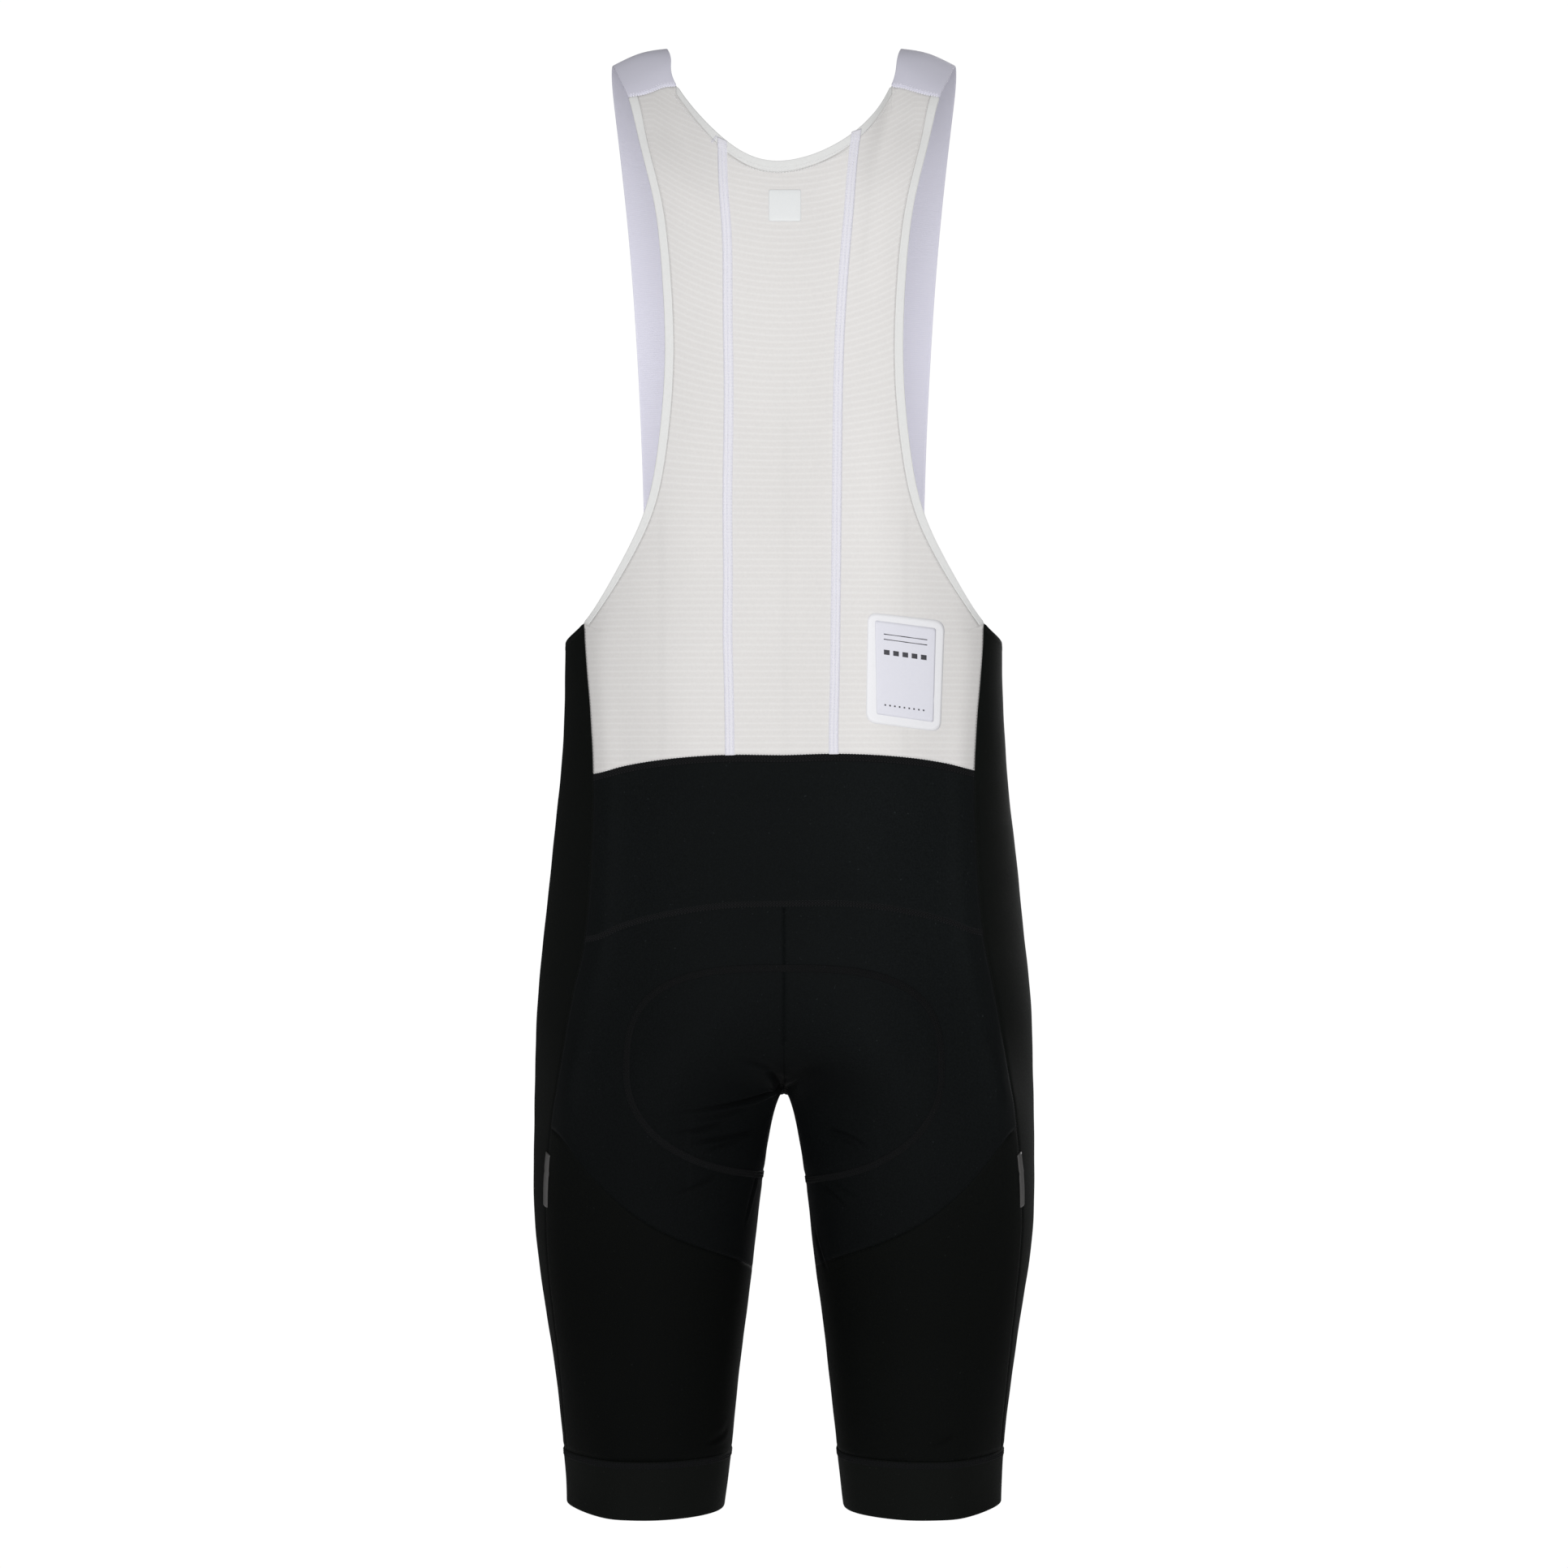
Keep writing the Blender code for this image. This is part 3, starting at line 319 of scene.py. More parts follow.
# ---------------------------------------------------------------- cage
CAGE = {}
QUADS = []


def put(row, column, side, point):
    centre = column in ("CB", "CF") or column in CROTCH
    x = 0.0 if centre else side * point[0]
    CAGE[(row, column, 0 if centre else side)] = (x, point[1], point[2])


def key(row, column, side):
    return (row, column, 0 if column in ("CB", "CF") or column in CROTCH else side)


def quad(panel, side, *corners):
    keys = [key(row, column, side) for row, column in corners]
    QUADS.append((panel, keys if side > 0 else keys[::-1]))


def fill_cage():
    for side in (1, -1):
        for row, heights in TRUNK_HEIGHT.items():
            for i, column in enumerate(COLUMNS):
                if i < 5:
                    across = TRUNK_ACROSS[row][i]
                    if column == "B1":
                        across += TAPE_SHIFT.get(row, (0, 0))[0 if side > 0 else 1]
                    lean = YOKE_LEAN.get(row, 0.0) * side * across / 125
                    point = trunk_across(across, heights[i] - lean)
                    if column == "CB":
                        point = (0.0, point[1] - CLEFT.get(row, 0.0), point[2])
                else:
                    point = trunk_turn(FRONT_TURN[column], heights[i])
                put(row, column, side, point)
        for column, (reach, height) in CROTCH.items():
            put("crotch", column, side, seen(0.0, height, reach))
        for row, heights in LEG_HEIGHT.items():
            for column, height in zip(LEG_COLUMNS, heights):
                if column == "SB":
                    point = leg_across(LEG_SIDE_SEAM[row], height)
                elif row == "knee" and column in LOW_TURN:
                    point = leg_turn(LOW_TURN[column] * 0.6 + LEG_TURN.get(column, 0) * 0.4, height)
                else:
                    point = leg_turn(LEG_TURN[column], height)
                if row == "root":
                    if column == "SB":
                        other = trunk_across(LEG_SIDE_SEAM[row], height)
                    elif column in ("B1", "B2", "B3"):
                        across = {"B1": 58.0, "B2": 99.0, "B3": 128.0}[column]
                        other = trunk_across(across, height)
                    elif column in ("S", "FS", "F2", "F1"):
                        other = trunk_turn({"S": 0, "FS": -38, "F2": -57, "F1": -72}[column], height)
                    else:
                        reach = {"I1": 42.0, "I2": 8.0, "I3": -28.0}[column]
                        point = other = (11.2, reach, seen(0, height, reach)[2])
                    point = mixed(other, point, 0.5)
                put(row, column, side, point)
        for row, level in (("grip", GRIP_TOP), ("hem", HEM)):
            for column in LEG_COLUMNS:
                turn = LOW_TURN.get(column, LEG_TURN.get(column))
                lift = HEM_RISE * max(math.cos(math.radians(turn)), 0.0) ** 2 if row == "hem" else 0.0
                put(row, column, side, leg_turn(turn, 0.0, level + lift))
        for row in BACK_HEIGHT:
            for i, column in enumerate(COLUMNS[:5]):
                across, height = BACK_ACROSS[row][i], BACK_HEIGHT[row][i]
                if column == "B1":
                    across += TAPE_SHIFT[row][0 if side > 0 else 1]
                    height += TAPE_RISE.get(row, 0.0) if side < 0 else 0.0
                put(row, column, side, seen(across, height, BACK_REACH[row][i]))
        for i, size in enumerate(STRAP):
            inner, outer = size[:3], size[3:]
            put(f"k{i}", "B2", side, inner)
            across, reach, height = mixed(inner, outer, 0.5)
            put(f"k{i}", "B3", side, (across, reach, height + STRAP_ARCH[min(i, len(STRAP_ARCH) - 1)]))
            put(f"k{i}", "SB", side, outer)


def fill_quads():
    trunk = list(TRUNK_HEIGHT)
    back = ["edge", *BACK_HEIGHT]
    strap = ["neck", *(f"k{i}" for i in range(len(STRAP)))]
    legs = ["root", "thigh", "seat_seam", "low_thigh", "knee", "grip", "hem"]
    for side, name in ((1, "left"), (-1, "right")):
        for top, foot in zip(trunk, trunk[1:]):
            for a, b in zip(COLUMNS, COLUMNS[1:]):
                if COLUMNS.index(a) >= 4:
                    panel = "front_" + name
                elif top in ("edge", "ribs"):
                    panel = "mesh_back_center" if a == "CB" else "mesh_back_" + name
                elif top in ("yoke_top", "waist"):
                    panel = "yoke"
                else:
                    panel = "seat_" + name
                quad(panel, side, (top, a), (top, b), (foot, b), (foot, a))
        for a, b in zip(COLUMNS[1:8], COLUMNS[2:9]):
            panel = ("seat_" if COLUMNS.index(a) < 4 else "front_") + name
            quad(panel, side, ("seat", a), ("seat", b), ("root", b), ("root", a))
        for panel, *corners in (
            ("seat_", ("seat", "CB"), ("seat", "B1"), ("root", "B1"), ("crotch", "C1")),
            ("seat_", ("crotch", "C1"), ("root", "B1"), ("root", "I1"), ("crotch", "C2")),
            ("seat_", ("crotch", "C2"), ("root", "I1"), ("root", "I2"), ("crotch", "C3")),
            ("front_", ("crotch", "C3"), ("root", "I2"), ("root", "I3"), ("crotch", "C4")),
            ("front_", ("crotch", "C4"), ("root", "I3"), ("root", "F1"), ("crotch", "C5")),
            ("front_", ("crotch", "C5"), ("root", "F1"), ("seat", "F1"), ("seat", "CF")),
        ):
            quad(panel + name, side, *corners)
        for top, foot in zip(legs, legs[1:]):
            ring = [*LEG_COLUMNS, LEG_COLUMNS[0]]
            for a, b in zip(ring, ring[1:]):
                behind = a in ("B1", "B2", "B3", "I2", "I1")
                if top == "grip":
                    panel = "gripper_"
                elif not behind:
                    panel = "front_"
                elif top in ("root", "thigh"):
                    panel = "seat_"
                else:
                    panel = "rear_leg_"
                quad(panel + name, side, (top, a), (top, b), (foot, b), (foot, a))
        for foot, top in zip(back, back[1:]):
            for a, b in zip(COLUMNS[:4], COLUMNS[1:5]):
                panel = "mesh_back_center" if a == "CB" else "mesh_back_" + name
                quad(panel, side, (top, a), (top, b), (foot, b), (foot, a))
        for foot, top in zip(strap, strap[1:]):
            for a, b in (("B2", "B3"), ("B3", "SB")):
                quad("strap_" + name, side, (top, a), (top, b), (foot, b), (foot, a))


# ---------------------------------------------------------------- shell
def subdivided(points, quads, tags, level):
    """(points, faces, tags) of the smooth surface over the cage."""
    mesh = bpy.data.meshes.new("cage")
    mesh.from_pydata([tuple(p) for p in points], [], quads)
    mesh.polygons.foreach_set("material_index", tags)
    cage = bpy.data.objects.new("cage", mesh)
    bpy.context.scene.collection.objects.link(cage)
    smooth = cage.modifiers.new("smooth", "SUBSURF")
    smooth.levels = smooth.render_levels = level
    smooth.use_limit_surface = True
    smooth.boundary_smooth = "PRESERVE_CORNERS"
    graph = bpy.context.evaluated_depsgraph_get()
    shape = cage.evaluated_get(graph).to_mesh()
    out = np.empty(len(shape.vertices) * 3)
    shape.vertices.foreach_get("co", out)
    faces = [tuple(p.vertices) for p in shape.polygons]
    marks = [p.material_index for p in shape.polygons]
    bpy.data.objects.remove(cage, do_unlink=True)
    bpy.data.meshes.remove(mesh)
    return out.reshape(-1, 3), faces, marks


def fitted_shell(level):
    """The smooth shell over the cage, fitted back to the points of its tables."""
    names = list(CAGE)
    index = {name: i for i, name in enumerate(names)}
    aim = np.array([CAGE[name] for name in names], float) * MM
    quads = [tuple(index[k] for k in keys) for _, keys in QUADS]
    panels = sorted({panel for panel, _ in QUADS})
    tags = [panels.index(panel) for panel, _ in QUADS]
    points = aim.copy()
    exact = np.array([row in BACK_HEIGHT or row[0] == "k" or (row == "root" and column[0] == "I") or (row == "edge" and column in ("B3", "SB", "S")) for row, column, _ in names])
    for turn in range(FIT_BACK):
        reached = subdivided(points, quads, tags, 1)[0][: len(aim)]
        share = np.where(exact | (turn < FIT_BODY), 0.9, 0.0)
        points += share[:, None] * (aim - reached)
    out, faces, marks = subdivided(points, quads, tags, level)
    return out, faces, [panels[m] for m in marks], index, points, quads


def net_of(faces, corner, count):
    """The vertices of one cage face's share of the surface, as a square net that starts at its first corner."""
    owner = {}
    for face in faces:
        for i in range(4):
            owner[(face[i], face[(i + 1) % 4])] = face[i:] + face[:i]
    net = [[0] * (count + 1) for _ in range(count + 1)]
    start = next(f for f in faces if corner in f)
    start = start[start.index(corner) :] + start[: start.index(corner)]
    for j in range(count):
        face = start
        for i in range(count):
            net[i][j], net[i + 1][j], net[i + 1][j + 1], net[i][j + 1] = face
            if i + 1 < count:
                step = owner[(face[2], face[1])]
                face = (step[1], step[2], step[3], step[0])
        if j + 1 < count:
            start = owner[(start[3], start[2])]
            start = (start[1], start[2], start[3], start[0])
            start = (start[3], start[0], start[1], start[2])
    return net


def bind_nets(self, squares):
    """Part the bindings from the panels: slide the net until its lines lie at each binding's inner edge."""
    rows = ["edge", *BACK_HEIGHT]
    lines = []
    take = max(self.count // 2, 1)
    for i, (_, keys) in enumerate(QUADS):
        where = [(row, column) for row, column, _ in keys]
        side = "left" if max(k[2] for k in keys) > 0 else "right"
        high = [row in BACK_HEIGHT for row, _ in where]
        if not any(high) or not all(row in rows for row, _ in where):
            continue
        columns = [column for _, column in where]
        if "SB" in columns:
            rim = [n for n, column in enumerate(columns) if column == "SB"]
            name, width = "arm_binding_" + side, ARM_BIND
        elif [row for row, _ in where].count("neck") == 2 and "B3" not in columns:
            rim = [n for n, (row, _) in enumerate(where) if row == "neck"]
            name, width = "neck_binding", NECK_BIND
        else:
            continue
        net, n = self.nets[i], self.count
        spots = [(0, 0), (n, 0), (n, n), (0, n)]
        a, b = spots[rim[0]], spots[rim[1]]
        if a[0] == b[0]:
            from_rim = [[net[m if a[0] == 0 else n - m][j] for m in range(n + 1)] for j in range(n + 1)]
        else:
            from_rim = [[net[j][m if a[1] == 0 else n - m] for m in range(n + 1)] for j in range(n + 1)]
        lines += [(tuple(line), width) for line in from_rim]
        close = {v for line in from_rim for v in line[: take + 1]}
        each = self.count**2
        for k in range(i * each, (i + 1) * each):
            if all(v in close for v in squares[k]):
                self.marks[k] = name
    fresh = self.points.copy()
    for line, width in dict.fromkeys(lines):
        p = self.points[list(line)]
        run = np.concatenate([[0], np.cumsum(np.linalg.norm(np.diff(p, axis=0), axis=1))])
        inner = width * MM
        at = np.concatenate([np.linspace(0, inner, take + 1), np.linspace(inner, run[-1], len(line) - take)[1:]])
        for m in range(1, len(line) - 1):
            fresh[line[m]] = [np.interp(at[m], run, p[:, axis]) for axis in range(3)]
    self.points = fresh


# ================================================================ the cloth's surface, finely
FINE = 4


def vertex_normals(points, squares):
    a, b, c, d = (points[squares[:, i]] for i in range(4))
    n = np.cross(c - a, d - b)
    out = np.zeros_like(points)
    for i in range(4):
        np.add.at(out, squares[:, i], n)
    return out / np.linalg.norm(out, axis=1)[:, None]


class Surface:
    """The same shell as the solids', finer, with the lines of its cage at hand."""

    def __init__(self, level):
        self.points, squares, marks, self.index, _, quads = fitted_shell(level)
        self.count = 2**level
        each = self.count**2
        self.nets, self.marks, self.sides = {}, list(marks), {}
        n = self.count
        for i, (_, keys) in enumerate(QUADS):
            own = [tuple(f) for f in squares[i * each : (i + 1) * each]]
            net = self.nets[i] = net_of(own, quads[i][0], n)
            edges = (
                [net[k][0] for k in range(n + 1)],
                [net[n][k] for k in range(n + 1)],
                [net[n - k][n] for k in range(n + 1)],
                [net[0][n - k] for k in range(n + 1)],
            )
            for k in range(4):
                self.sides[(keys[k], keys[(k + 1) % 4])] = edges[k]
                self.sides[(keys[(k + 1) % 4], keys[k])] = edges[k][::-1]
        self.bind(squares)
        self.squares = np.array(squares)
        self.names = sorted(set(self.marks))
        self.marks = np.array([self.names.index(m) for m in self.marks])
        self.normals = vertex_normals(self.points, self.squares)

    bind = bind_nets

    def squares_of(self, names):
        chosen = [self.names.index(n) for n in names]
        return self.squares[np.isin(self.marks, chosen)]

    def line(self, keys):
        """The surface's own points along a run of the cage's points."""
        out = []
        for a, b in zip(keys, keys[1:]):
            out += self.sides[(a, b)][(1 if out else 0) :]
        return out


def column_keys(column, side, rows):
    return [key(row, column, side) for row in rows]


def back_row(row, last="SB"):
    """A row of the back from the wearer's right to the left."""
    columns = COLUMNS[: COLUMNS.index(last) + 1]
    right = [key(row, c, -1) for c in columns[::-1]]
    return right + [key(row, c, 1) for c in columns[1:]]


fill_cage()
fill_quads()
SHELL = Surface(FINE)


def lay_straps():
    """The straps' front ends lie on the outside of the front panels."""
    fronts = SHELL.squares_of(("front_left", "front_right"))
    tree = BVHTree.FromPolygons([Vector(p) for p in SHELL.points], [tuple(map(int, f)) for f in fronts])
    for v in np.unique(SHELL.squares_of(("strap_left", "strap_right"))):
        x, y, z = SHELL.points[v]
        if y > -0.05 or z > -0.36:
            continue
        hit, normal, _, _ = tree.ray_cast(Vector((x, -0.3, z)), Vector((0, 1, 0)))
        if hit is None:
            continue
        normal = -normal if normal.y > 0 else normal
        SHELL.points[v] = (x, min(hit.y + normal.y * 1.7 * MM, y), z)


lay_straps()
SHELL.normals = vertex_normals(SHELL.points, SHELL.squares)


# ================================================================ relief: creases, seams and the pad's edge
EYE_BACK = Vector((0.0, FAR * MM, -EYE * MM))
EYE_FRONT = Vector((0.0, -FAR * MM, -EYE * MM))


def tree_of(points, squares):
    return BVHTree.FromPolygons([Vector(p) for p in points], [tuple(map(int, f)) for f in squares])


BODY_TREE = tree_of(SHELL.points, SHELL.squares_of([n for n in SHELL.names if not n.startswith("strap")]))


def on_body(across, height, behind=True):
    """The point of the shell that is seen at a place, from behind or from before."""
    eye = EYE_BACK if behind else EYE_FRONT
    aim = Vector((across * MM, 0.0, (height - EYE) * MM)) - eye
    return BODY_TREE.ray_cast(eye, aim.normalized())[0]


# Creases as seen: start, middle and end (across, height), then width, depth, how much painted shade darkens the trough,
# and which side is seen
CREASE_COLUMNS = ("x0", "z0", "x1", "z1", "x2", "z2", "width", "depth", "dark", "behind")
CREASES = (
    # behind, wearer's left thigh: pulled towards the crotch
    (2.4, -197.0, 26.0, -207.5, 85.0, -217.8, 1.8, 1.9, 0.52, True),
    (0.5, -202.5, 4.2, -192.9, 12.5, -185.0, 3.3, 2.3, 0.98, True),
    (6.8, -187.1, 18.5, -182.9, 33.0, -180.2, 2.1, 0.8, 0.32, True),
    (38.0, -220.3, 56.2, -226.2, 82.0, -228.6, 1.7, 0.9, 0.30, True),
    (17.5, -226.2, 40.3, -231.3, 73.0, -236.4, 1.8, 1.2, 0.36, True),
    (24.0, -230.3, 41.9, -236.2, 56.0, -242.5, 1.7, 0.9, 0.30, True),
    (22.0, -211.0, 42.9, -217.2, 62.0, -219.4, 1.8, 0.6, 0.22, True),
    (42.0, -254.5, 57.8, -263.4, 76.0, -270.6, 1.9, 0.8, 0.30, True),
    # behind, wearer's right thigh
    (-0.5, -202.5, -4.2, -197.2, -11.0, -192.0, 2.4, 1.0, 0.80, True),
    (-26.0, -224.0, -43.5, -230.0, -58.0, -239.5, 1.6, 1.0, 0.36, True),
    (-28.0, -228.0, -42.4, -233.6, -51.0, -239.5, 1.5, 0.6, 0.24, True),
    (-25.0, -261.4, -33.9, -269.2, -44.0, -280.5, 1.7, 0.8, 0.32, True),
    (-31.0, -259.4, -41.0, -266.0, -52.0, -271.0, 1.7, 0.5, 0.20, True),
    (-3.0, -196.0, -15.0, -187.5, -36.0, -183.5, 6.5, 0.5, 0.30, True),
    # before: from the crotch over the thighs, uneven
    (6.0, -186.0, 38.0, -170.0, 78.0, -164.0, 2.4, 1.6, 0.3, False),
    (8.0, -200.0, 44.0, -196.0, 88.0, -201.0, 2.2, 1.5, 0.3, False),
    (14.0, -226.0, 40.0, -232.0, 66.0, -244.0, 2.0, 1.1, 0.3, False),
    (-6.0, -187.0, -30.0, -174.0, -66.0, -168.0, 2.2, 1.5, 0.3, False),
    (-9.0, -203.0, -50.0, -205.0, -96.0, -216.0, 2.3, 1.4, 0.3, False),
    (-18.0, -236.0, -42.0, -247.0, -60.0, -262.0, 2.0, 1.0, 0.3, False),
    (30.0, -60.0, 62.0, -66.0, 100.0, -62.0, 4.4, 0.9, 0.3, False),
    (-24.0, -74.0, -60.0, -82.0, -108.0, -80.0, 4.6, 0.9, 0.3, False),
    (-100.0, -128.0, -70.0, -136.0, -34.0, -134.0, 3.4, 0.8, 0.3, False),
    # inside of the thighs and above the gripper bands
    (18.0, -250.0, 22.0, -272.0, 27.0, -292.0, 2.4, 0.8, 0.3, True),
    (-20.0, -288.0, -24.0, -306.0, -30.0, -322.0, 2.4, 0.7, 0.3, True),
    (36.0, -420.0, 44.0, -428.0, 56.0, -432.0, 2.4, 0.5, 0.3, True),
    (-112.0, -424.0, -104.0, -431.0, -90.0, -434.0, 2.4, 0.5, 0.3, True),
    (100.0, -412.0, 112.0, -424.0, 128.0, -430.0, 3.0, 0.6, 0.3, False),
    (-60.0, -416.0, -48.0, -427.0, -40.0, -432.0, 3.0, 0.6, 0.3, False),
)


def curve_through(a, b, c, step):
    """Points along an arc through three points, a step apart."""
    a, b, c = (np.array(p, float) for p in (a, b, c))
    mid = 2 * b - (a + c) / 2
    t = np.linspace(0, 1, max(int((np.linalg.norm(b - a) + np.linalg.norm(c - b)) / step), 4))[:, None]
    return (1 - t) ** 2 * a + 2 * t * (1 - t) * mid + t**2 * c


CREASE_PATHS = []
for x0, z0, x1, z1, x2, z2, width, depth, painted_trough_shade, behind in CREASES:
    path = [on_body(x, z, behind) for x, z in curve_through((x0, z0), (x1, z1), (x2, z2), 0.8)]
    path = np.array([p for p in path if p is not None])
    if len(path) > 3:
        run = np.gradient(path, axis=0)
        CREASE_PATHS.append((path, run / np.linalg.norm(run, axis=1)[:, None], width, depth, painted_trough_shade))


def crease_lift(points, normals):
    """How far creases move each point out, and how much shade is painted into their troughs."""
    lift, dark = np.zeros(len(points)), np.zeros(len(points))
    for path, run, width, depth, painted_trough_shade in CREASE_PATHS:
        low, high = path.min(0) - 5 * width * MM, path.max(0) + 5 * width * MM
        near = np.where(((points > low) & (points < high)).all(1))[0]
        if not len(near):
            continue
        gap = points[near][:, None] - path[None]
        far = np.linalg.norm(gap, axis=2)
        k = far.argmin(1)
        own = gap[np.arange(len(near)), k]
        side = np.cross(normals[near], run[k])
        s = (own * side).sum(1) / MM
        over = (own * run[k]).sum(1) / MM
        t = k / (len(path) - 1)
        taper = np.clip(np.minimum(t / 0.22, (1 - t) / 0.5), 0, 1)
        taper = taper * taper * (3 - 2 * taper)
        w = width * (1.15 - 0.4 * t)
        w = np.where(s > 0, 0.8 * w, 1.25 * w)
        fade = taper * np.exp(-((over / (1.5 * width)) ** 2)) * (far.min(1) < 6 * width * MM)
        shape = -np.exp(-((s / w) ** 2)) + 0.5 * np.exp(-(((s - 1.9 * w) / w) ** 2)) + 0.3 * np.exp(-(((s + 1.9 * w) / (1.2 * w)) ** 2))
        lift[near] += depth * MM * fade * shape
        # painted shade: each trough is darkened in the colour, on top of its real depth
        dark[near] = np.maximum(dark[near], painted_trough_shade * fade * np.exp(-((s / (1.0 * w)) ** 2)))
    return lift, dark


def crease_near(points):
    """Which points lie close to a crease."""
    close = np.zeros(len(points), bool)
    for path, _, width, _, _ in CREASE_PATHS:
        low, high = path.min(0) - 6 * width * MM, path.max(0) + 6 * width * MM
        near = np.where(((points > low) & (points < high)).all(1))[0]
        if len(near):
            far = np.linalg.norm(points[near][:, None] - path[None], axis=2).min(1)
            close[near] |= far < (3.6 * width + 1.6) * MM
    return close


def seam_lift():
    """Each seam lies in a soft furrow: its own line sinks and the cloth beside it swells a little."""
    squares, marks = SHELL.squares, SHELL.marks
    edges = np.sort(np.vstack([squares[:, [i, (i + 1) % 4]] for i in range(4)]), axis=1)
    owner = np.tile(marks, 4)
    order = np.lexsort((edges[:, 1], edges[:, 0]))
    edges, owner = edges[order], owner[order]
    same = (edges[1:] == edges[:-1]).all(1)
    seam = same & (owner[1:] != owner[:-1])
    deep = np.zeros(len(SHELL.points))
    names = SHELL.names
    for (a, b), m, n in zip(edges[1:][seam], owner[1:][seam], owner[:-1][seam]):
        pair = {names[m].split("_")[0], names[n].split("_")[0]}
        d = 0.16 if pair == {"mesh"} else 0.08 if "arm" in pair or "neck" in pair else 0.22 if "strap" in pair else 0.32
        for v in (a, b):
            inner = abs(SHELL.points[v][0]) < 0.05 and SHELL.points[v][2] < -0.69
            deep[v] = max(deep[v], min(d, 0.08) if inner else d)
    ring = deep > 0
    touched = ring[squares].any(1)
    beside = np.zeros(len(deep), bool)
    beside[np.unique(squares[touched])] = True
    beside &= ~ring
    swell = np.where(beside, 0.10, 0.0)
    return (swell - deep) * MM, ring


def fields(places, points, far):
    """How far each point lies from the nearest of some places, and which one; far where none is near."""
    tree = KDTree(len(places))
    for i, p in enumerate(places):
        tree.insert(Vector(p), i)
    tree.balance()
    low, high = places.min(0) - far, places.max(0) + far
    gap, which = np.full(len(points), far * 2), np.zeros(len(points), int)
    for i in np.where(((points > low) & (points < high)).all(1))[0]:
        _, k, d = tree.find(Vector(points[i]))
        gap[i], which[i] = d, k
    return gap, which


def pad_outline():
    """The pad's outline on the shell, as a closed run of points."""
    squares = SHELL.squares_of(("seat_left", "seat_right", "front_left", "front_right"))
    used = np.unique(squares)
    level = dict(zip(used.tolist(), (pad_level(SHELL.points[v]) for v in used)))
    links, spots = {}, {}
    for a, b, c, d in squares.tolist():
        cut = []
        for p, q in ((a, b), (b, c), (c, d), (d, a)):
            if (level[p] > 0) != (level[q] > 0):
                name = (min(p, q), max(p, q))
                t = level[name[0]] / (level[name[0]] - level[name[1]])
                spots[name] = SHELL.points[name[0]] * (1 - t) + SHELL.points[name[1]] * t
                cut.append(name)
        if len(cut) == 2:
            links.setdefault(cut[0], []).append(cut[1])
            links.setdefault(cut[1], []).append(cut[0])
    best, left = [], set(links)
    while left:
        start = min(left)
        run, here, before = [start], start, None
        while True:
            left.discard(here)
            after = [k for k in links[here] if k != before and (k in left or k == start)]
            if not after or (after[0] == start and len(run) > 2):
                break
            before, here = here, after[0]
            run.append(here)
        if len(run) > len(best):
            best = run
    return np.array([spots[k] for k in best])


class Track:
    """An even run of points on the cloth, with its direction, the way out and the way sideways."""

    def __init__(self, points, step, tree, normals, squares, closed=False, shift=0.0, smooth=0):
        points = np.asarray(points, float)
        if closed:
            points = np.vstack([points, points[:1]])
        run = np.concatenate([[0], np.cumsum(np.linalg.norm(np.diff(points, axis=0), axis=1))])
        count = max(int(round(run[-1] / (step * MM))), 2)
        at = np.linspace(0, run[-1], count + 1)
        line = np.stack([np.interp(at, run, points[:, i]) for i in range(3)], axis=1)
        if closed:
            line = line[:-1]
        for _ in range(smooth):
            if closed:
                line = (np.roll(line, 1, 0) + 2 * line + np.roll(line, -1, 0)) / 4
            else:
                line[1:-1] = (line[:-2] + 2 * line[1:-1] + line[2:]) / 4
        self.closed, self.length = closed, run[-1]
        for turn in range(2 if shift else 1):
            spots, ups = [], []
            for p in line:
                hit, flat, face, _ = tree.find_nearest(Vector(p))
                corner = squares[face]
                gap = np.linalg.norm(SKIN[corner] - np.array(hit), axis=1) + 1e-6
                up = (normals[corner] / gap[:, None] ** 2).sum(0)
                spots.append(np.array(hit))
                ups.append(up / np.linalg.norm(up))
            self.points, self.normals = np.array(spots), np.array(ups)
            ahead = np.roll(self.points, -1, 0) - np.roll(self.points, 1, 0)
            if not closed:
                ahead[0], ahead[-1] = self.points[1] - self.points[0], self.points[-1] - self.points[-2]
            ahead -= self.normals * (ahead * self.normals).sum(1)[:, None]
            self.along = ahead / np.linalg.norm(ahead, axis=1)[:, None]
            self.side = np.cross(self.normals, self.along)
            if shift and turn == 0:
                line = self.points + self.side * shift * MM

    def at(self, distances, shift=0.0, rise=0.0):
        """Points at distances along it in mm, moved sideways and out."""
        run = np.concatenate([[0], np.cumsum(np.linalg.norm(np.diff(self.points, axis=0), axis=1))]) / MM
        made = []
        for what in (self.points, self.along, self.normals, self.side):
            if self.closed:
                what = np.vstack([what, what[:1]])
            grid = run if not self.closed else np.append(run, run[-1] + np.linalg.norm(self.points[0] - self.points[-1]) / MM)
            made.append(np.stack([np.interp(distances, grid, what[:, i]) for i in range(3)], axis=1))
        points, along, up, side = made
        return points + side * np.reshape(shift, (-1, 1)) * MM + up * np.reshape(rise, (-1, 1)) * MM, along, up, side

    def total(self):
        run = np.linalg.norm(np.diff(self.points, axis=0), axis=1).sum()
        if self.closed:
            run += np.linalg.norm(self.points[0] - self.points[-1])
        return run / MM


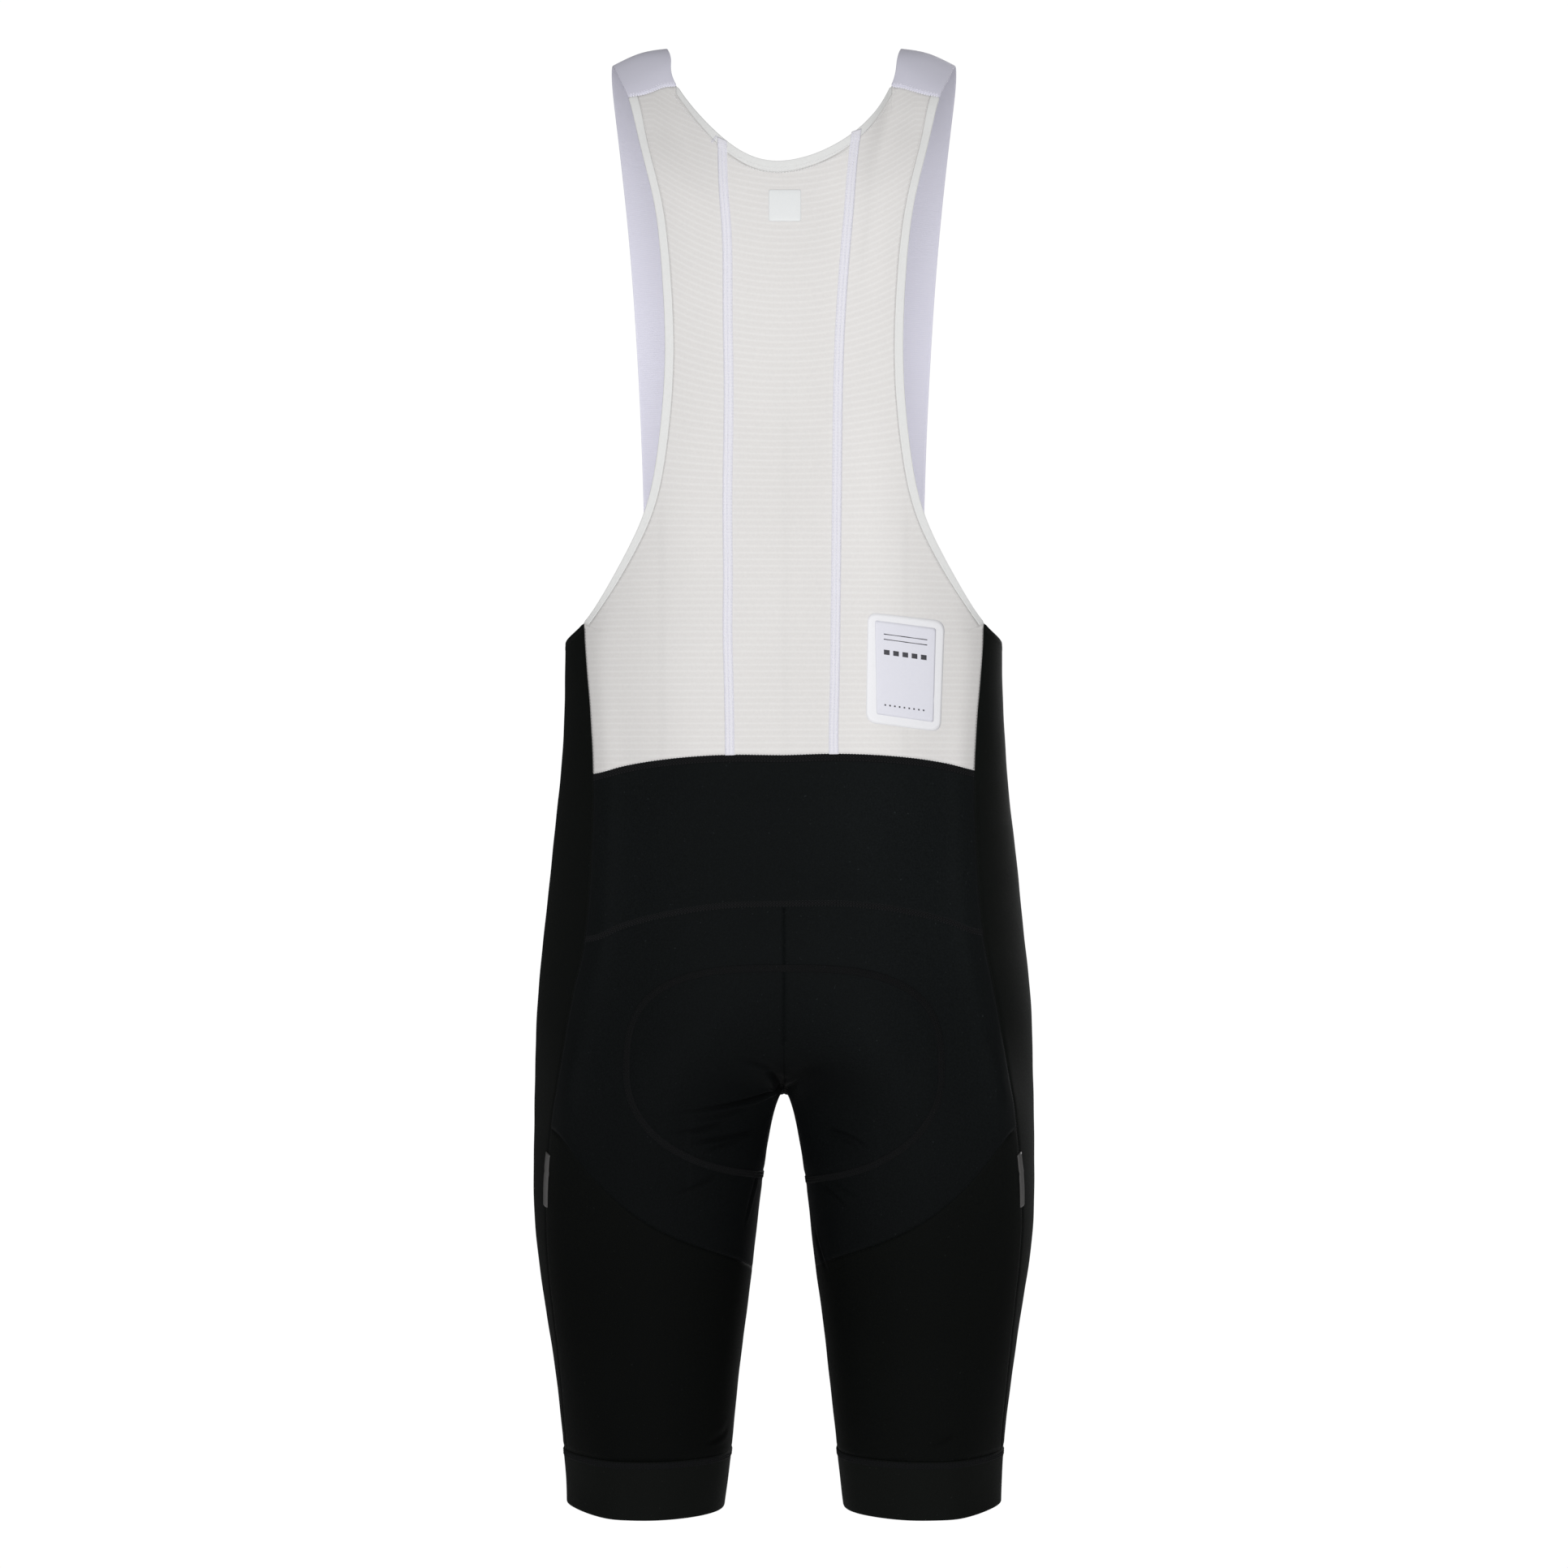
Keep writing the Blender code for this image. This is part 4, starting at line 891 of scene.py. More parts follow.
CREASE, _ = crease_lift(SHELL.points, SHELL.normals)
SEAM, SEAM_LINE = seam_lift()
OUTLINE = pad_outline()
gap, which = fields(OUTLINE, SHELL.points, 0.03)
inside = np.array([pad_level(p) if g < 0.03 else 0.0 for p, g in zip(SHELL.points, gap)])
straps = np.zeros(len(SHELL.points), bool)
straps[np.unique(SHELL.squares_of(("strap_left", "strap_right")))] = True
PAD_EDGE = np.where(straps, 0.0, -0.30 * np.exp(-(((gap / MM - 3.0) / 1.8) ** 2)))
PAD_EDGE += np.where((inside > 0) & (gap < 0.03), 0.35 * np.exp(-(((gap / MM - 9.0) / 6.0) ** 2)), 0.0)
x, y, z = (SHELL.points / MM).T
DRAPE = 0.22 * np.sin(x / 19 + z / 31 + 0.6) * np.sin(z / 23 - y / 29) + 0.10 * np.sin(x / 9.1 - z / 7.3) * np.sin(z / 11.7 + x / 13.0)
BIND_RISE = 0.22
PROUD = np.zeros(len(SHELL.points))
for name in SHELL.names:
    if "binding" in name:
        PROUD[np.unique(SHELL.squares_of((name,)))] = BIND_RISE
    if name.startswith("gripper"):
        PROUD[np.unique(SHELL.squares_of((name,)))] = PROUD_GRIP
# the inner thighs are full just below the crotch
inward = np.clip(-SHELL.normals[:, 0] * np.sign(x), 0, 1) * (np.abs(x) < 60)
FULL = 1.9 * np.exp(-(((z + 708) / 27) ** 2)) * inward
BOTH = (DRAPE + FULL) * MM * np.where(straps, 0.4, 1.0)  # what both faces of the cloth follow, beside its creases
LIFT = BOTH + SEAM + PAD_EDGE * MM  # what its outer face has
SKIN = SHELL.points + SHELL.normals * (LIFT + CREASE + PROUD * MM)[:, None]
SKIN_NORMALS = vertex_normals(SKIN, SHELL.squares)
SKIN_SQUARES = SHELL.squares
SKIN_TREE = tree_of(SKIN, SHELL.squares)


def track(points, step=1.0, closed=False, shift=0.0, smooth=0, only=None):
    """A track on the cloth's outer face, through points or the shell's own vertices."""
    if len(points) and np.ndim(points[0]) == 0:
        points = SKIN[np.array(points)]
    tree, squares = SKIN_TREE, SKIN_SQUARES
    if only is not None:
        squares = SHELL.squares_of(only)
        if only not in TREES:
            TREES[only] = tree_of(SKIN, squares)
        tree = TREES[only]
    return Track(points, step, tree, SKIN_NORMALS, squares, closed, shift, smooth)


TREES = {}


# ================================================================ materials
def paint(name):
    made = bpy.data.materials.new(name)
    made.use_nodes = True
    tree = made.node_tree
    return made, tree, tree.nodes["Principled BSDF"]


def put_node(tree, kind, **values):
    node = tree.nodes.new(kind)
    for k, v in values.items():
        if hasattr(node, k):
            setattr(node, k, v)
        else:
            node.inputs[k.replace("_", " ")].default_value = v
    return node


def feed(tree, value, socket):
    if isinstance(value, (int, float)):
        socket.default_value = value
    elif isinstance(value, tuple):
        socket.default_value = value
    else:
        tree.links.new(value, socket)


def calc(tree, what, a, b=0.0, c=None, clamp=False):
    node = tree.nodes.new("ShaderNodeMath")
    node.operation = what
    node.use_clamp = clamp
    feed(tree, a, node.inputs[0])
    feed(tree, b, node.inputs[1])
    if c is not None:
        feed(tree, c, node.inputs[2])
    return node.outputs[0]


def blend_colours(tree, share, a, b):
    node = tree.nodes.new("ShaderNodeMix")
    node.data_type = "RGBA"
    feed(tree, share, node.inputs[0])
    feed(tree, a, node.inputs[6])
    feed(tree, b, node.inputs[7])
    return node.outputs[2]


def waves(tree, value, pitch, sharp=1.0):
    """0 to 1 and back over each pitch, in mm; sharp narrows its crests."""
    turn = calc(tree, "MULTIPLY", value, 2 * math.pi / pitch)
    up = calc(tree, "MULTIPLY_ADD", calc(tree, "SINE", turn), 0.5, 0.5)
    return calc(tree, "POWER", up, sharp) if sharp != 1.0 else up


def grain(tree, scale, detail=2.0, rough=0.5):
    place = tree.nodes.new("ShaderNodeTexCoord")
    noise = put_node(tree, "ShaderNodeTexNoise", Scale=scale, Detail=detail, Roughness=rough)
    tree.links.new(place.outputs["Object"], noise.inputs["Vector"])
    return noise.outputs["Fac"]


def spread(tree, value, low, high):
    node = tree.nodes.new("ShaderNodeMapRange")
    feed(tree, value, node.inputs["Value"])
    node.inputs["From Min"].default_value, node.inputs["From Max"].default_value = 0.25, 0.75
    node.inputs["To Min"].default_value, node.inputs["To Max"].default_value = low, high
    return node.outputs[0]


def attribute(tree, name):
    return put_node(tree, "ShaderNodeAttribute", attribute_name=name).outputs["Fac"]


def bump(tree, height, depth, shader, strength=1.0):
    """A bump of that depth in mm at a height of 1."""
    node = put_node(tree, "ShaderNodeBump", Strength=strength, Distance=depth * MM)
    feed(tree, height, node.inputs["Height"])
    tree.links.new(node.outputs[0], shader.inputs["Normal"])


def rgb(value):
    """A screen colour, 0 to 255, as a linear one."""
    out = []
    for v in value:
        v /= 255
        out.append(v / 12.92 if v <= 0.04045 else ((v + 0.055) / 1.055) ** 2.4)
    return (*out, 1.0)


def make_mesh_knit():
    made, tree, shader = paint("mesh_knit")
    rib, across, painted_shading = (attribute(tree, n) for n in ("rib", "across", "painted_shading"))
    ridge = waves(tree, rib, 4.1, 3.0)
    loops = calc(tree, "MULTIPLY", waves(tree, across, 0.86), waves(tree, rib, 0.82))
    soft = grain(tree, 700.0)
    slow = grain(tree, 14.0)
    colour = blend_colours(tree, ridge, (0.692, 0.677, 0.666, 1), (0.722, 0.709, 0.699, 1))
    holes = calc(tree, "MULTIPLY", loops, calc(tree, "SUBTRACT", 1.0, ridge))
    colour = blend_colours(tree, calc(tree, "MULTIPLY", holes, 0.09), colour, (0.56, 0.535, 0.52, 1))
    # random variation times the painted light and shade from the mesh's values
    shade = calc(tree, "MULTIPLY", calc(tree, "MULTIPLY", spread(tree, soft, 0.975, 1.02), spread(tree, slow, 0.985, 1.015)), painted_shading)
    final = tree.nodes.new("ShaderNodeVectorMath")
    final.operation = "SCALE"
    tree.links.new(colour, final.inputs[0])
    tree.links.new(shade, final.inputs["Scale"])
    tree.links.new(final.outputs[0], shader.inputs["Base Color"])
    height = calc(tree, "ADD", calc(tree, "MULTIPLY", ridge, 1.0), calc(tree, "MULTIPLY", loops, -0.35))
    bump(tree, height, 0.045, shader, 0.8)
    feed(tree, spread(tree, soft, 0.78, 0.92), shader.inputs["Roughness"])
    shader.inputs["Specular IOR Level"].default_value = 0.22
    shader.inputs["Sheen Weight"].default_value = 0.05
    shader.inputs["Sheen Roughness"].default_value = 0.4
    return made


def make_binding():
    made, tree, shader = paint("binding_knit")
    soft, fine = grain(tree, 520.0), grain(tree, 1500.0, 1.0)
    colour = blend_colours(tree, soft, (0.700, 0.704, 0.697, 1), (0.748, 0.750, 0.744, 1))
    tree.links.new(colour, shader.inputs["Base Color"])
    bump(tree, calc(tree, "ADD", soft, calc(tree, "MULTIPLY", fine, 0.6)), 0.10, shader, 0.7)
    feed(tree, spread(tree, fine, 0.74, 0.9), shader.inputs["Roughness"])
    shader.inputs["Specular IOR Level"].default_value = 0.25
    shader.inputs["Sheen Weight"].default_value = 0.05
    return made


def make_elastic(name, low, high, groove, with_painted_light):
    made, tree, shader = paint(name)
    rib, across = attribute(tree, "rib"), attribute(tree, "across")
    weft = waves(tree, rib, 0.95)
    warp = waves(tree, across, 0.62)
    soft = grain(tree, 900.0)
    colour = blend_colours(tree, soft, (*low, 1), (*high, 1))
    colour = blend_colours(tree, calc(tree, "MULTIPLY", weft, 0.14), colour, (*groove, 1))
    if with_painted_light:
        # painted light and shade on the strap: its colour is scaled by the strap's painted shading values
        final = tree.nodes.new("ShaderNodeVectorMath")
        final.operation = "SCALE"
        tree.links.new(colour, final.inputs[0])
        tree.links.new(attribute(tree, "painted_shading"), final.inputs["Scale"])
        colour = final.outputs[0]
        shader.inputs["Emission Color"].default_value = (0.86, 0.86, 1.0, 1.0)  # painted light: a faint even glow, though the strap is no lamp, standing in for light through the thin elastic
        shader.inputs["Emission Strength"].default_value = 0.036
    tree.links.new(colour, shader.inputs["Base Color"])
    bump(tree, calc(tree, "ADD", calc(tree, "MULTIPLY", weft, 0.7), calc(tree, "MULTIPLY", warp, 0.3)), 0.08, shader, 0.8)
    feed(tree, spread(tree, soft, 0.62, 0.8), shader.inputs["Roughness"])
    shader.inputs["Specular IOR Level"].default_value = 0.3
    shader.inputs["Sheen Weight"].default_value = 0.08
    shader.inputs["Sheen Roughness"].default_value = 0.35
    return made


def make_black(name, low, high, sheen, tint, speck=900.0, with_painted_light=True):
    """Black brushed knit: a fine nap of lighter fibres over a dark ground."""
    made, tree, shader = paint(name)
    nap, pile = grain(tree, speck, 2.0, 0.6), grain(tree, 2600.0, 1.0)
    slow = grain(tree, 9.0, 3.0)
    lint = calc(tree, "GREATER_THAN", grain(tree, 520.0, 1.0), 0.775)
    colour = blend_colours(tree, nap, (*low, 1), (*high, 1))
    colour = blend_colours(tree, calc(tree, "MULTIPLY", lint, 0.5), colour, tuple(2.6 * c for c in high) + (1,))
    final = tree.nodes.new("ShaderNodeVectorMath")
    final.operation = "SCALE"
    tree.links.new(colour, final.inputs[0])
    shade = spread(tree, slow, 0.88, 1.10)
    if with_painted_light:
        # painted light and shade: the colour is scaled by the panel's painted shading values
        shade = calc(tree, "MULTIPLY", shade, attribute(tree, "painted_shading"))
    tree.links.new(shade, final.inputs["Scale"])
    tree.links.new(final.outputs[0], shader.inputs["Base Color"])
    bump(tree, calc(tree, "ADD", nap, calc(tree, "MULTIPLY", pile, 0.5)), 0.10, shader, 0.6)
    feed(tree, spread(tree, nap, 0.66, 0.84), shader.inputs["Roughness"])
    shader.inputs["Specular IOR Level"].default_value = 0.045
    shader.inputs["Sheen Weight"].default_value = sheen
    shader.inputs["Sheen Roughness"].default_value = 0.45
    shader.inputs["Sheen Tint"].default_value = (*tint, 1)
    return made


def make_thread(name, low, high, level=0.3, sheen=0.05):
    made, tree, shader = paint(name)
    twist = grain(tree, 1800.0, 1.0)
    tree.links.new(blend_colours(tree, twist, (*low, 1), (*high, 1)), shader.inputs["Base Color"])
    bump(tree, twist, 0.05, shader, 0.6)
    shader.inputs["Roughness"].default_value = 0.6
    shader.inputs["Specular IOR Level"].default_value = level
    shader.inputs["Sheen Weight"].default_value = sheen
    return made


def make_pad():
    made, tree, shader = paint("pad_cover")
    nap, dots = grain(tree, 1100.0), grain(tree, 260.0, 1.0)
    tree.links.new(blend_colours(tree, nap, (0.030, 0.031, 0.035, 1), (0.055, 0.056, 0.062, 1)), shader.inputs["Base Color"])
    bump(tree, calc(tree, "ADD", nap, dots), 0.14, shader, 0.7)
    shader.inputs["Roughness"].default_value = 0.85
    shader.inputs["Specular IOR Level"].default_value = 0.2
    shader.inputs["Sheen Weight"].default_value = 0.1
    return made


def make_film(name, low, high, rough):
    made, tree, shader = paint(name)
    soft = grain(tree, 600.0)
    tree.links.new(blend_colours(tree, soft, (*low, 1), (*high, 1)), shader.inputs["Base Color"])
    bump(tree, soft, 0.04, shader, 0.5)
    feed(tree, spread(tree, soft, rough - 0.06, rough + 0.06), shader.inputs["Roughness"])
    shader.inputs["Specular IOR Level"].default_value = 0.35
    return made


def make_reflective():
    made, tree, shader = paint("reflective")
    beads = grain(tree, 2400.0, 1.0)
    slow = grain(tree, 160.0)
    colour = blend_colours(tree, beads, (0.050, 0.049, 0.049, 1), (0.098, 0.095, 0.094, 1))
    tree.links.new(blend_colours(tree, calc(tree, "MULTIPLY", slow, 0.3), colour, (0.035, 0.034, 0.034, 1)), shader.inputs["Base Color"])
    bump(tree, beads, 0.04, shader, 0.6)
    shader.inputs["Roughness"].default_value = 0.42
    shader.inputs["Metallic"].default_value = 0.15
    shader.inputs["Specular IOR Level"].default_value = 0.3
    return made


PAINT = {
    "mesh_knit": make_mesh_knit(),
    "binding_knit": make_binding(),
    "elastic": make_elastic("elastic", (0.855, 0.845, 0.980), (0.895, 0.885, 0.992), (0.78, 0.77, 0.935), True),
    "tape_knit": make_elastic("tape_knit", (0.712, 0.704, 0.758), (0.766, 0.758, 0.806), (0.64, 0.63, 0.70), False),
    "thermal_knit": make_black("thermal_knit", (0.0008, 0.0012, 0.0013), (0.0072, 0.0086, 0.0090), 0.004, (0.75, 0.85, 1.0)),
    "thermal_side": make_black("thermal_side", (0.0007, 0.0010, 0.0008), (0.0056, 0.0066, 0.0060), 0.003, (0.85, 1.0, 0.92)),
    "gripper_knit": make_black("gripper_knit", (0.0018, 0.0022, 0.0019), (0.0062, 0.0070, 0.0063), 0.004, (0.92, 1.0, 0.93), 1500.0, False),
    "band_knit": make_black("band_knit", (0.0022, 0.0024, 0.0026), (0.0066, 0.0071, 0.0078), 0.004, (0.75, 0.85, 1.0), 900.0, False),
    "pad_foam": make_pad(),
    "label_film": make_film("label_film", (0.703, 0.717, 0.721), (0.737, 0.750, 0.754), 0.5),
    "patch_film": make_film("patch_film", (0.775, 0.775, 0.800), (0.805, 0.805, 0.830), 0.45),
    "patch_panel": make_film("patch_panel", (0.690, 0.690, 0.755), (0.720, 0.720, 0.785), 0.5),
    "print_dark": make_film("print_dark", (0.045, 0.045, 0.055), (0.06, 0.06, 0.07), 0.5),
    "reflective": make_reflective(),
    "thread_white": make_thread("thread_white", (0.76, 0.76, 0.76), (0.83, 0.83, 0.83)),
    "thread_lilac": make_thread("thread_lilac", (0.73, 0.725, 0.80), (0.81, 0.805, 0.875)),
    "thread_black": make_thread("thread_black", (0.0065, 0.0068, 0.0072), (0.0135, 0.0140, 0.0150), 0.10, 0.01),
    "thread_seam": make_thread("thread_seam", (0.0050, 0.0053, 0.0054), (0.0098, 0.0102, 0.0104), 0.08, 0.01),
    "thread_pad": make_thread("thread_pad", (0.0037, 0.0040, 0.0041), (0.0086, 0.0090, 0.0093), 0.07, 0.006),
    # grey grains that stand for shade: painted shade in needle holes and along the binding's fold
    "hole_shade_grey": make_thread("hole_shade_grey", (0.57, 0.56, 0.56), (0.67, 0.66, 0.66), 0.15, 0.0),
}


def show(name, points, faces, look, stands_for=(), values=None, smooth=True):
    mesh = bpy.data.meshes.new(name)
    points = np.asarray(points, float)
    groups = [np.asarray(f, int) for f in (faces if isinstance(faces, (tuple, list)) else (faces,)) if len(f)]
    loops = np.concatenate([f.ravel() for f in groups]).astype(np.int32)
    sizes = np.concatenate([np.full(len(f), f.shape[1]) for f in groups])
    starts = (np.cumsum(sizes) - sizes).astype(np.int32)
    mesh.vertices.add(len(points))
    mesh.vertices.foreach_set("co", points.astype(np.float32).ravel())
    mesh.loops.add(len(loops))
    mesh.loops.foreach_set("vertex_index", loops)
    mesh.polygons.add(len(starts))
    mesh.polygons.foreach_set("loop_start", starts)
    mesh.polygons.foreach_set("use_smooth", np.full(len(starts), smooth))
    mesh.update(calc_edges=True)
    mesh.validate()
    for title, value in (values or {}).items():
        mesh.attributes.new(title, "FLOAT", "POINT").data.foreach_set("value", np.asarray(value, np.float32))
    mesh.materials.append(PAINT[look])
    made = bpy.data.objects.new(name, mesh)
    bpy.context.scene.collection.objects.link(made)
    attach(made, "root")
    if stands_for:
        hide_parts(*stands_for)
    return made


RIM = ((0.62, 0.80), (1.0, 0.0), (0.62, -0.80))  # a free edge's round: how far out, how far up, as shares


SPLITS = {"front": 2, "other": 4}  # parts of a square's side beside a crease


def refined(squares, points, normals, chosen, extras, splits):
    """Splits the chosen squares finely; their neighbours take the new points on shared sides."""
    n, corner, weight, on_side = len(points), [], [], {}

    def new(ids, shares):
        corner.append(ids)
        weight.append(shares)
        return n + len(corner) - 1

    def side_points(a, b):
        name = (a, b) if a < b else (b, a)
        if name not in on_side:
            lo, hi = name
            on_side[name] = [new((lo, hi, lo, hi), (1 - k / splits, k / splits, 0.0, 0.0)) for k in range(1, splits)]
        return on_side[name] if a < b else on_side[name][::-1]

    faces = {}
    for a, b, c, d in squares[chosen].tolist():
        grid = [[a, *side_points(a, d), d]]
        low, high = side_points(a, b), side_points(d, c)
        for i in range(1, splits):
            u = i / splits
            inner = [
                new((a, b, c, d), ((1 - u) * (1 - v), u * (1 - v), u * v, (1 - u) * v))
                for v in (j / splits for j in range(1, splits))
            ]
            grid.append([low[i - 1], *inner, high[i - 1]])
        grid.append([b, *side_points(b, c), c])
        for i in range(splits):
            for j in range(splits):
                faces.setdefault(4, []).append((grid[i][j], grid[i + 1][j], grid[i + 1][j + 1], grid[i][j + 1]))
    touched = {v for name in on_side for v in name}
    rest = squares[~chosen]
    plain = np.ones(len(rest), bool)
    for k, (a, b, c, d) in enumerate(rest.tolist()):
        if a in touched or b in touched or c in touched or d in touched:
            loop = []
            for p, q in ((a, b), (b, c), (c, d), (d, a)):
                loop.append(p)
                if (min(p, q), max(p, q)) in on_side:
                    loop += side_points(p, q)
            if len(loop) > 4:
                plain[k] = False
                faces.setdefault(len(loop), []).append(tuple(loop))
    groups = [rest[plain]] + [np.array(f) for f in faces.values()]
    if not corner:
        return groups, points, normals, extras
    corner, weight = np.array(corner), np.array(weight)[:, :, None]
    flat = (points[corner] * weight).sum(1)
    up = (normals[corner] * weight).sum(1)
    up /= np.linalg.norm(up, axis=1)[:, None]
    reach = ((flat[:, None] - points[corner]) * normals[corner]).sum(2)[:, :, None]
    eased_points = ((flat[:, None] - reach * normals[corner]) * weight).sum(1)
    points = np.vstack([points, 0.3 * flat + 0.7 * eased_points])
    normals = np.vstack([normals, up])
    extras = [np.concatenate([e, (e[corner] * weight[:, :, 0]).sum(1)]) for e in extras]
    return groups, points, normals, extras


def cloth(name, tag, deep, proud, look, values=None):
    """A panel of the shell as a thin wall with both faces and a rolled rim."""
    squares = SHELL.squares_of((tag,))
    used, local = np.unique(squares, return_inverse=True)
    squares = local.reshape(-1, 4)
    titles = list(values or {})
    extras = [LIFT[used], BOTH[used], SEAM_LINE[used].astype(float)] + [values[t][used] for t in titles]
    chosen = crease_near(SHELL.points[used])[squares].any(1) if not tag.startswith(("mesh", "strap")) else np.zeros(len(squares), bool)
    splits = SPLITS.get(tag.split("_")[0], SPLITS["other"])
    groups, points, normals, extras = refined(squares, SHELL.points[used], SHELL.normals[used], chosen, extras, splits)
    lift, both, seam = extras[:3]
    crease, dark = crease_lift(points, normals)
    count = len(points)
    directed = np.vstack([f[:, [i, (i + 1) % f.shape[1]]] for f in groups for i in range(f.shape[1])])
    code = directed[:, 0] * count + directed[:, 1]
    back = directed[:, 1] * count + directed[:, 0]
    edge = directed[~np.isin(code, back)]
    out = np.zeros((count, 3))
    run = points[edge[:, 1]] - points[edge[:, 0]]
    run /= np.linalg.norm(run, axis=1)[:, None]
    for i in (0, 1):
        np.add.at(out, edge[:, i], np.cross(run, normals[edge[:, i]]))
    out /= np.maximum(np.linalg.norm(out, axis=1), 1e-9)[:, None]
    rim = np.unique(edge)
    top = points + normals * (lift + crease + proud * MM)[:, None]
    low = points + normals * (both + crease - deep * MM)[:, None]
    half = np.linalg.norm(top - low, axis=1) / 2
    middle = (top + low) / 2
    roll = np.where(seam > 0.5, 0.02, 1.0)
    place = np.full(count, -1)
    place[rim] = np.arange(len(rim))
    rings = [middle[rim] + out[rim] * (half * roll)[rim, None] * a + normals[rim] * half[rim, None] * b for a, b in RIM]
    all_points = np.vstack([top, low, *rings])
    a, b = edge[:, 0], edge[:, 1]
    chain = [lambda v: v] + [(lambda v, k=k: 2 * count + k * len(rim) + place[v]) for k in range(len(RIM))] + [lambda v: v + count]
    sides = [np.stack([f(b), f(a), g(a), g(b)], axis=1) for f, g in zip(chain, chain[1:])]
    faces = [*groups, *(f[:, ::-1] + count for f in groups), *sides]
    shown = {}
    for t, v in zip(titles, extras[3:]):
        # painted shade: the creases darken the painted light-and-shade values
        v = v * (1 - dark) if t == "painted_shading" else v
        shown[t] = np.concatenate([v, v, *[v[rim]] * len(RIM)])
    return show(name, all_points, faces, look, (tag,), shown)


def sweep(name, way, ring, look, stands_for=(), values=None, to=None, slant=0.0):
    """A closed strip along a track; ring is its section as (sideways, out) in mm; slant leans its far end outwards."""
    ring = np.array(ring, float)
    n, r = len(way.points), len(ring)
    points = (
        way.points[:, None]
        + way.side[:, None] * ring[None, :, :1] * MM
        + way.normals[:, None] * ring[None, :, 1:] * MM
    ).reshape(-1, 3)
    wide = np.abs(points[-r:, 0])
    longer = slant * (1 + (wide - wide.mean()) / (wide.max() - wide.mean())) if slant else np.zeros(r)
    if slant:
        points[-2 * r :] += way.along[-1] * np.tile(longer, 2)[:, None] * MM
        points[-r:] -= way.normals[-1] * ring[:, 1:] * 0.3 * MM
    i = np.arange(n if way.closed else n - 1)[:, None]
    j = np.arange(r)[None]
    a, b = i * r + j, i * r + (j + 1) % r
    c, d = ((i + 1) % n) * r + (j + 1) % r, ((i + 1) % n) * r + j
    quads = np.stack([a, b, c, d], axis=2).reshape(-1, 4)
    tris = []
    if not way.closed:
        for base, flip in ((0, False), ((n - 1) * r, True)):
            points = np.vstack([points, points[base : base + r].mean(0)])
            hub = len(points) - 1
            for k in range(r):
                t = (hub, base + (k + 1) % r, base + k)
                tris.append(t[::-1] if flip else t)
    if values == "strip":
        run = np.concatenate([[0], np.cumsum(np.linalg.norm(np.diff(way.points, axis=0), axis=1))]) / MM
        rib = np.repeat(run, r)
        rib[-2 * r :] += np.tile(longer, 2)
        across = np.tile(ring[:, 0], n)
        if not way.closed:
            rib, across = np.append(rib, [0.0, run[-1]]), np.append(across, [0.0, 0.0])
        values = {"rib": rib, "across": across}
    if to is not None:
        to.append((points, quads, np.array(tris, int).reshape(-1, 3)))
        return None
    return show(name, points, (quads, np.array(tris, int).reshape(-1, 3)), look, stands_for, values)


def joined(name, parts, look, stands_for=()):
    points, quads, tris, base = [], [], [], 0
    for p, q, t in parts:
        points.append(p)
        quads.append(q + base)
        tris.append(t + base)
        base += len(p)
    return show(name, np.vstack(points), (np.vstack(quads), np.vstack(tris)), look, stands_for)


def band_ring(width, rise, sink=0.5):
    h = width / 2
    return ((-h, -sink), (-h, 0.02), (-0.9 * h, rise * 0.75), (-0.45 * h, rise), (0, rise * 1.05), (0.45 * h, rise), (0.9 * h, rise * 0.75), (h, 0.02), (h, -sink))


# ---------------------------------------------------------------- stitches
STITCHES = {}
ROUND = np.array([(math.cos(k * math.pi / 2), math.sin(k * math.pi / 2)) for k in range(4)])


def sew(piece, places, along, up, length, width, height):
    """Single stitches: a grain of thread at each place, along its direction."""
    side = np.cross(up, along)
    side /= np.linalg.norm(side, axis=1)[:, None]
    n = len(places)
    stations = ((-0.5, 0.0), (-0.30, 0.85), (0.30, 0.85), (0.5, 0.0))
    rows = []
    for t, r in stations:
        centre = places + along * (t * length * MM) - up * (0.3 * height * (1 - r) * MM)
        if r == 0.0:
            rows.append(centre[:, None])
        else:
            rows.append(
                centre[:, None]
                + side[:, None] * (ROUND[:, 0] * width / 2 * r * MM)[None, :, None]
                + up[:, None] * (ROUND[:, 1] * height / 2 * r * MM)[None, :, None]
            )
    points = np.concatenate(rows, axis=1)  # n x 10 x 3
    tri, quad = [], []
    for k in range(4):
        m = (k + 1) % 4
        tri += [(0, 1 + m, 1 + k), (9, 5 + k, 5 + m)]
        quad.append((1 + k, 1 + m, 5 + m, 5 + k))
    base = (np.arange(n) * 10)[:, None, None]
    STITCHES.setdefault(piece, []).append(
        (points.reshape(-1, 3), (np.array(quad)[None] + base).reshape(-1, 4), (np.array(tri)[None] + base).reshape(-1, 3))
    )


def stitch_row(piece, way, shift=0.0, pitch=2.2, length=1.6, width=0.5, rise=0.1, trim=1.0, height=None):
    """A straight row of stitches beside a track."""
    total = way.total()
    count = max(int((total - 2 * trim) / pitch), 1)
    at = trim + (np.arange(count) + 0.5) * (total - 2 * trim) / count
    places, along, up, _ = way.at(at, shift, rise)
    sew(piece, places, along, up, length, width, height or width)


def zigzag(piece, way, low, high, pitch=2.2, width=0.4, rise=0.1, trim=1.0):
    """A thread that crosses from one side of a band to the other and back."""
    total = way.total()
    count = max(int((total - 2 * trim) / pitch), 1) * 2
    at = trim + np.arange(count + 1) * (total - 2 * trim) / count
    shift = np.where(np.arange(count + 1) % 2 == 0, low, high)
    places, along, up, _ = way.at(at, shift, rise)
    start, end = places[:-1], places[1:]
    run = end - start
    far = np.linalg.norm(run, axis=1)
    sew(piece, (start + end) / 2, run / far[:, None], (up[:-1] + up[1:]) / 2, far.mean() / MM * 1.05, width, width)


